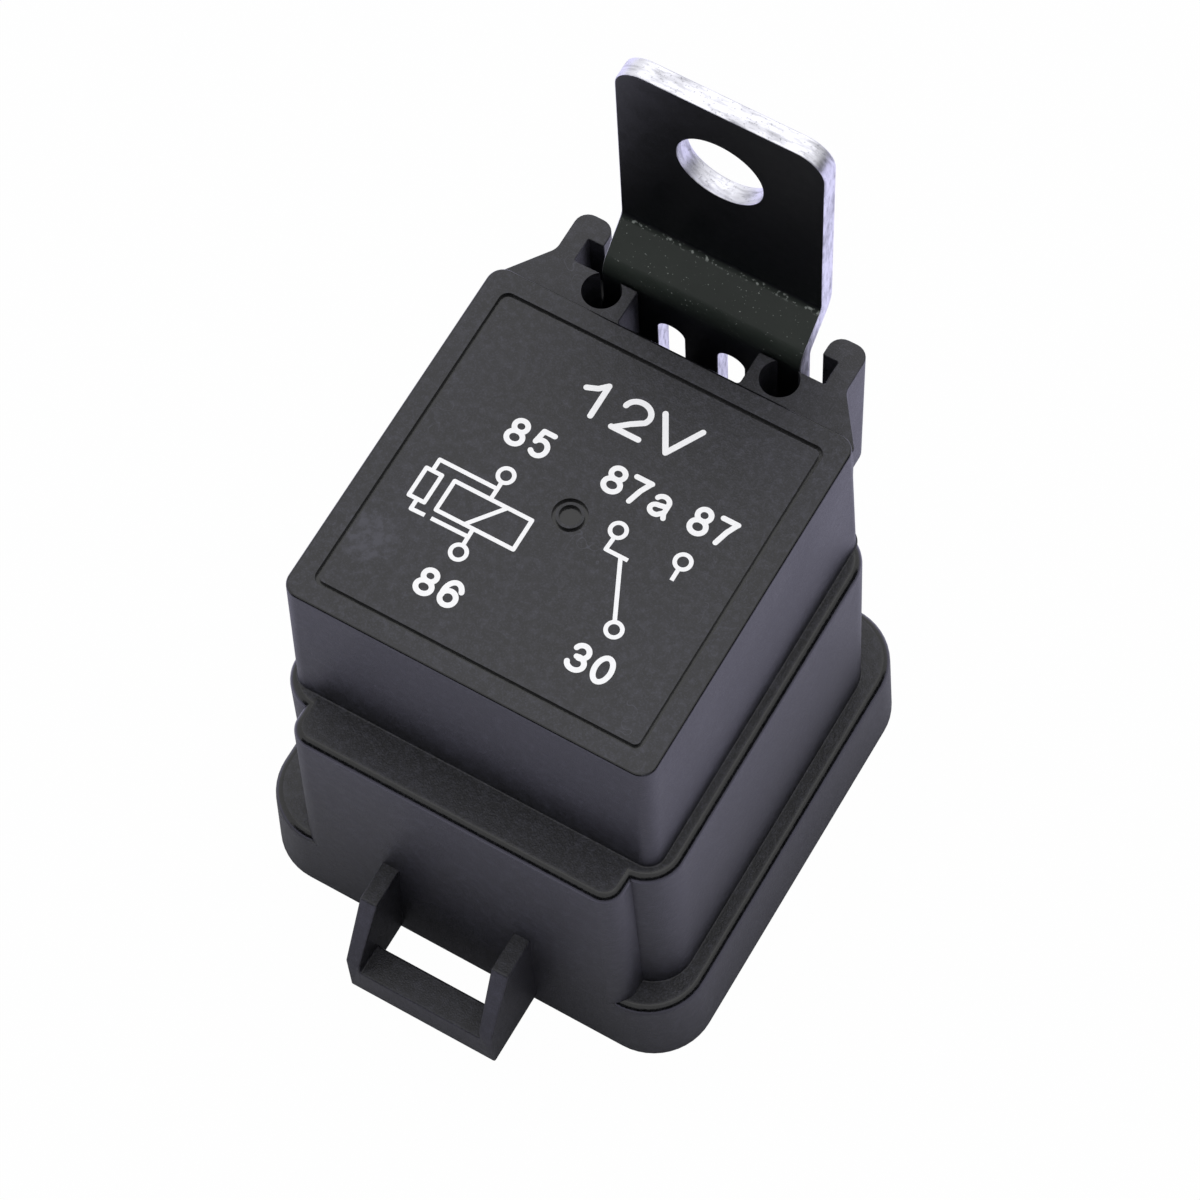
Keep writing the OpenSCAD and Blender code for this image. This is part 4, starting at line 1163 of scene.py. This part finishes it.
@dataclass
class Wires:
    """The coil's winding and its two ends, the return spring and the copper braid."""

    place: Place
    wire: float = 0.26
    bore: float = 4.3
    lead_turns: int = 3
    coil_x: float = 8.4
    finger: Point = (1.9, 23.1)
    wrap: float = 0.9
    lead_start: Point = (6.53, 21.5)
    spring_y: float = -11.6
    spring_ends: Point = (22.95, 36.19)
    spring_coils: Point = (24.6, 33.84)
    spring_radius: float = 0.54
    spring_wire: float = 0.22
    spring_turns: int = 11
    braid_x: float = 2.6
    braid_front: float = -11.25
    braid_turn: float = 36.892
    braid_foot: float = 36.548
    braid_radius: float = 0.5
    braid_loop: float = 2.4
    braid_rise: float = 1.9
    braid_strands: int = 7
    braid_twist: float = 34.0
    tree: bpy.types.NodeTree | None = None

    def dress(self, made: Thing, slot: str, node: str, bends: tuple[Spot, Spot] | None = None) -> Thing:
        """Fixes a piece of wire on the static body, unless it has bend points, and hides the node that it
        replaces.

        Args:
            made: the piece.
            slot: not used.
            node: the node that it replaces.
            bends: where a wire that would bend with the armature starts and stops bending; the points are
                read but not used, and such a wire rides on no body.

        Returns:
            The piece.
        """
        if bends:
            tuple(bends[0])
            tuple(bends[1])
            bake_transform(made)
        else:
            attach(made, STATIC)
        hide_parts(node)
        return made

    def strand(self, name: str, path: Points, wire: float, points: int, finish: Finish,
               **more: float) -> Thing:
        """Grows one piece of wire along a path.

        Args:
            name: the piece's name.
            path: its middle line in case millimetres.
            wire: its radius in millimetres.
            points: how many points its middle line gets.
            finish: its finish.
            **more: the number of strands, their lay and their twist.

        Returns:
            The piece.
        """
        sizes = {"Strands": 1, "Lay": 0.0, "Twist": 0.0, **more, "Wire": wire * MM, "Points": points}
        sizes["Finish"] = finish.get()
        return WireTrees.grow(name, self.tree, sizes, [self.place.point(*p) for p in path])

    def winding(self) -> Thing:
        """Returns the winding: a helix of wire over the layers below it."""
        low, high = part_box("coil_winding")
        radius, wire = (high.x - low.x) / 2, self.wire * MM
        middle = (low + high) / 2
        height = high.z - low.z - wire
        sizes = {"Turns": height / wire, "Radius": radius - wire / 2, "Height": height, "Wire": wire / 2,
                 "Middle": (middle.x, middle.y, low.z + wire / 2), "Finish": Finish.WIRE.get()}
        made = WireTrees.grow("winding_turns", WireTrees.helix(), sizes)
        layers = bmesh.new()
        layers.from_mesh(made.data)
        rings = []
        for r in (radius - wire * 0.6, self.bore * MM):
            for z in (low.z + wire / 4, high.z - wire / 4):
                outline = circle(middle.x, middle.y, r, 72)
                rings.append([layers.verts.new((x, y, z)) for x, y in outline])
        outer_low, outer_high, inner_low, inner_high = rings
        count = len(outer_low)
        sides = ((outer_low, outer_high), (inner_high, inner_low), (outer_high, inner_high),
                 (inner_low, outer_low))
        for i in range(count):
            k = (i + 1) % count
            for a, b in sides:
                layers.faces.new((a[i], a[k], b[k], b[i]))
        layers.to_mesh(made.data)
        layers.free()
        made.data.shade_smooth()
        made.data.set_sharp_from_angle(angle=radians(50))
        return self.dress(made, "copper", "coil_winding")

    def lead(self, side: int, node: str) -> Thing:
        """Returns one end of the coil's wire, wrapped round its terminal's finger."""
        (start_x, start_z), (y, z), wrap, x = self.lead_start, self.finger, self.wrap, self.coil_x
        pitch = self.wire * 1.3
        path = [(side * start_x, y - wrap, start_z), (side * (x - wrap), y - wrap, z - 0.2)]
        for i in range(self.lead_turns * 24 + 1):
            a = pi * i / 12
            path.append((side * (x - wrap * cos(a)), y + wrap * sin(a), z + pitch * a / ROUND))
        made = self.strand(f"wire_end_{node[-2:]}", path, self.wire / 2, 160, Finish.WIRE)
        return self.dress(made, "copper", node)

    def spring(self) -> Thing:
        """Returns the tension spring that lifts the armature: hook, coils, hook."""
        (bottom, top), (low, high), y = self.spring_ends, self.spring_coils, self.spring_y
        steps = 24
        count = self.spring_turns * steps
        path = [(0, y + 0.8, bottom), (0, y + 0.2, bottom), (0, y, bottom + 0.2)]
        for i in range(count + 1):
            a, r = ROUND * i / steps, self.spring_radius * min(1, i / steps, (count - i) / steps)
            path.append((r * sin(a), y + r * cos(a), low + (high - low) * i / count))
        path += [(0, y, top - 0.2), (0, y + 0.2, top), (0, y + 0.8, top)]
        made = self.strand("spring_wire", path, self.spring_wire / 2, 400, Finish.PLATE)
        bends = self.place.point(0, y, low), self.place.point(0, y, high)
        return self.dress(made, "spring_bronze", "return_spring", bends)

    def braid(self) -> Thing:
        """Returns the copper braid that loops over the hinge to the contact spring."""
        x, front, turn, loop = self.braid_x, self.braid_front, self.braid_turn, self.braid_loop
        path = [(x, front, turn - 7 + 1.4 * i) for i in range(5)]
        for i in range(13):
            a = pi * i / 12
            path.append((x, front + loop * (1 - cos(a)), turn + self.braid_rise * sin(a)))
        path.append((x, front + 2 * loop, self.braid_foot))
        lay = self.braid_radius * 0.62
        more = {"Strands": self.braid_strands, "Lay": lay * MM, "Twist": self.braid_twist}
        made = self.strand("braid_strands", path, self.braid_radius - lay, 150, Finish.BRAID, **more)
        bends = self.place.point(x, front, turn), self.place.point(*path[-1])
        return self.dress(made, "copper", "shunt_braid", bends)

    def build(self) -> list[Thing]:
        """Builds every piece of wire."""
        self.tree = WireTrees.strands()
        return [self.winding(), self.lead(1, "coil_lead_85"), self.lead(-1, "coil_lead_86"),
                self.spring(), self.braid()]


# ---- carried-over nodes


class Carried:
    """CAD pieces whose shape is right, each with the finish of its stock."""

    NODES: dict[Finish, str] = {
        Finish.BASE: "base", Finish.SEAL: "potting_seal", Finish.YOKE: "yoke armature", Finish.CORE: "core",
        Finish.NYLON: "bobbin", Finish.WIRE: "coil_winding coil_lead_85 coil_lead_86",
        Finish.BRONZE: "contact_spring", Finish.LACQUER: "suppression_resistor",
        Finish.PLATE: "armature_rivets return_spring", Finish.CASE: "cover",
        Finish.SILVER: "moving_contact no_contact nc_contact", Finish.BRAID: "shunt_braid",
        Finish.BRASS: "terminal_30 terminal_85 terminal_86 terminal_87 terminal_87a",
        Finish.COAT: "mounting_bracket",
    }

    @classmethod
    def dress(cls, nodes: dict[str, Thing]) -> None:
        """Gives every CAD node its finish."""
        for finish, names in cls.NODES.items():
            for name in names.split():
                nodes[name].data.materials.clear()
                nodes[name].data.materials.append(finish.get())


# ---- studio


@dataclass(frozen=True)
class Camera:
    """The view: a long lens high over the front right corner."""

    x: float = 73.36
    y: float = -104.0
    z: float = 304.52
    azimuth: float = 34.19
    elevation: float = 65.13
    roll: float = -4.4
    lens: float = 133.13

    def build(self) -> Thing:
        """Creates the camera and makes it the scene's own."""
        data = bpy.data.cameras.new("camera")
        data.lens = self.lens
        data.sensor_width = 36.0
        data.clip_start, data.clip_end = 0.01, 10.0
        made = add("camera", data)
        a, e = radians(self.azimuth), radians(self.elevation)
        back = Vector((sin(a) * cos(e), -cos(a) * cos(e), sin(e)))
        right = (-back).cross(Vector((0, 0, 1))).normalized()
        turn = Matrix((right, right.cross(-back), back)).transposed()
        turn = turn @ Matrix.Rotation(radians(self.roll), 3, "Z")
        made.matrix_world = Matrix.Translation(Vector((self.x, self.y, self.z)) * MM) @ turn.to_4x4()
        bpy.context.scene.camera = made
        return made


@dataclass(frozen=True)
class Studio:
    """Soft lamps, a pale floor, a white surround and a dark flag in front."""

    floor_size: float = 3.0
    floor_z: float = -0.00004
    floor_tone: Colour = (0.5, 0.5, 0.53)
    floor_tint: Colour = (0.78, 0.76, 1.0)
    floor_light: float = 1.28
    shade: float = 0.012
    contact: float = 0.019
    lean: Point = (0.004, 0.005)
    sky_tint: Colour = (0.97, 0.97, 1.0)
    sky_light: float = 0.9
    flag_radius: float = 0.36
    flag_height: float = 0.23
    flag_from: float = -128.0
    flag_to: float = 38.0
    flag_tone: Colour = (0.03, 0.034, 0.032)
    lamp_place: Spot = (-0.04, 0.18, 0.8)
    lamp_size: float = 1.0
    lamp_power: float = 1.75

    def lamp(self) -> None:
        """Adds the square soft lamp overhead, which looks at the object."""
        data = bpy.data.lights.new("overhead", "AREA")
        data.shape = "SQUARE"
        data.size = self.lamp_size
        data.energy = self.lamp_power
        made = add("overhead", data)
        made.location = self.lamp_place
        ahead = Vector((0, 0, 0.03)) - Vector(self.lamp_place)
        made.rotation_euler = ahead.to_track_quat("-Z", "Y").to_euler()

    def stand(self, name: str, points: Points, faces: Sequence[Sequence[int]]) -> tuple[Thing, Graph]:
        """Adds a piece of the stage.

        Args:
            name: the piece's name.
            points: its points in metres.
            faces: its faces.

        Returns:
            The piece and the empty graph of its material.
        """
        mesh = bpy.data.meshes.new(name)
        mesh.from_pydata([tuple(p) for p in points], [], [tuple(f) for f in faces])
        made = add(name, mesh)
        stuff = bpy.data.materials.new(name)
        stuff.use_nodes = True
        mesh.materials.append(stuff)
        return made, Graph(stuff.node_tree)

    def floor(self) -> None:
        """Adds the pale floor, which shows white and keeps the object's soft shadow; close round the object
        its reflections show the darker matt floor, a painted shadow.
        """
        half = self.floor_size / 2
        corners = (-half, -half), (half, -half), (half, half), (-half, half)
        points = [(x, y, self.floor_z) for x, y in corners]
        _, graph = self.stand("pale_floor", points, [(0, 1, 2, 3)])
        parts = graph.node("ShaderNodeSeparateXYZ", {0: graph.place()})
        sides = [(Value(graph, parts.outputs[i]) + self.lean[i]).away(0.0) for i in (0, 1)]
        reach = graph.out("ShaderNodeMath", {0: sides[0], 1: sides[1], 2: 0.02}, {"operation": "SMOOTH_MAX"})
        # Painted shadow: within this reach of the object, glossy rays see the darker matt floor instead of
        # the bright one.
        clear = Value(graph, reach).over(self.contact + 0.011, 0.012)
        white = graph.out("ShaderNodeEmission", {"Color": self.floor_tint, "Strength": self.floor_light})
        plain = graph.out("ShaderNodeEmission", {"Color": (1.0, 1.0, 1.0), "Strength": 1.0})
        matt = graph.out("ShaderNodeBsdfDiffuse", {"Color": self.floor_tone})
        mirrored = clear * graph.rays("Glossy", "Transmission")
        glossy = graph.out("ShaderNodeMixShader", {0: mirrored, 1: matt, 2: white})
        camera = graph.rays("Camera") * (1 - self.shade)
        mixed = graph.out("ShaderNodeMixShader", {0: camera, 1: glossy, 2: plain})
        graph.node("ShaderNodeOutputMaterial", {"Surface": mixed})

    def flag(self) -> None:
        """Adds a dark curved flag in front, which draws the thin dark lines along rounded edges."""
        steps = 32
        points = []
        for i in range(steps + 1):
            a = radians(self.flag_from + (self.flag_to - self.flag_from) * i / steps)
            x, y = self.flag_radius * cos(a), self.flag_radius * sin(a)
            points += [(x, y, self.floor_z), (x, y, self.flag_height)]
        faces = [(2 * i, 2 * i + 1, 2 * i + 3, 2 * i + 2) for i in range(steps)]
        made, graph = self.stand("flag", points, faces)
        matt = graph.out("ShaderNodeBsdfDiffuse", {"Color": self.flag_tone})
        graph.node("ShaderNodeOutputMaterial", {"Surface": matt})
        made.visible_camera = False

    def world(self) -> None:
        """Makes the surround white where it is seen and softer as a light."""
        world = bpy.data.worlds.new("surround")
        world.use_nodes = True
        graph = Graph(world.node_tree)
        shown = graph.out("ShaderNodeBackground", {"Color": (1.0, 1.0, 1.0), "Strength": 1.0})
        light = graph.out("ShaderNodeBackground", {"Color": self.sky_tint, "Strength": self.sky_light})
        seen = graph.rays("Camera", "Glossy", "Transmission")
        mixed = graph.out("ShaderNodeMixShader", {0: seen, 1: light, 2: shown})
        graph.node("ShaderNodeOutputWorld", {"Surface": mixed})
        bpy.context.scene.world = world

    def build(self) -> None:
        """Sets the whole stage."""
        bpy.context.scene.view_settings.view_transform = "Standard"
        self.world()
        self.floor()
        self.flag()
        self.lamp()


def main() -> None:
    """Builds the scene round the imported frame."""
    logging.basicConfig(level=logging.INFO, format="%(name)s: %(message)s")
    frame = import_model()
    place = Place(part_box("cover")[0].y / MM + Cover.loop_front)
    Camera().build()
    Studio().build()
    Carried.dress(frame["nodes"])
    pieces = [Cover(place).build(), TopPrint(place).build(), Bracket(place).build(), *Wires(place).build()]
    for made in pieces:
        LOG.info("%s: %d faces", made.name, len(made.data.polygons))


if __name__ == "__main__":
    main()
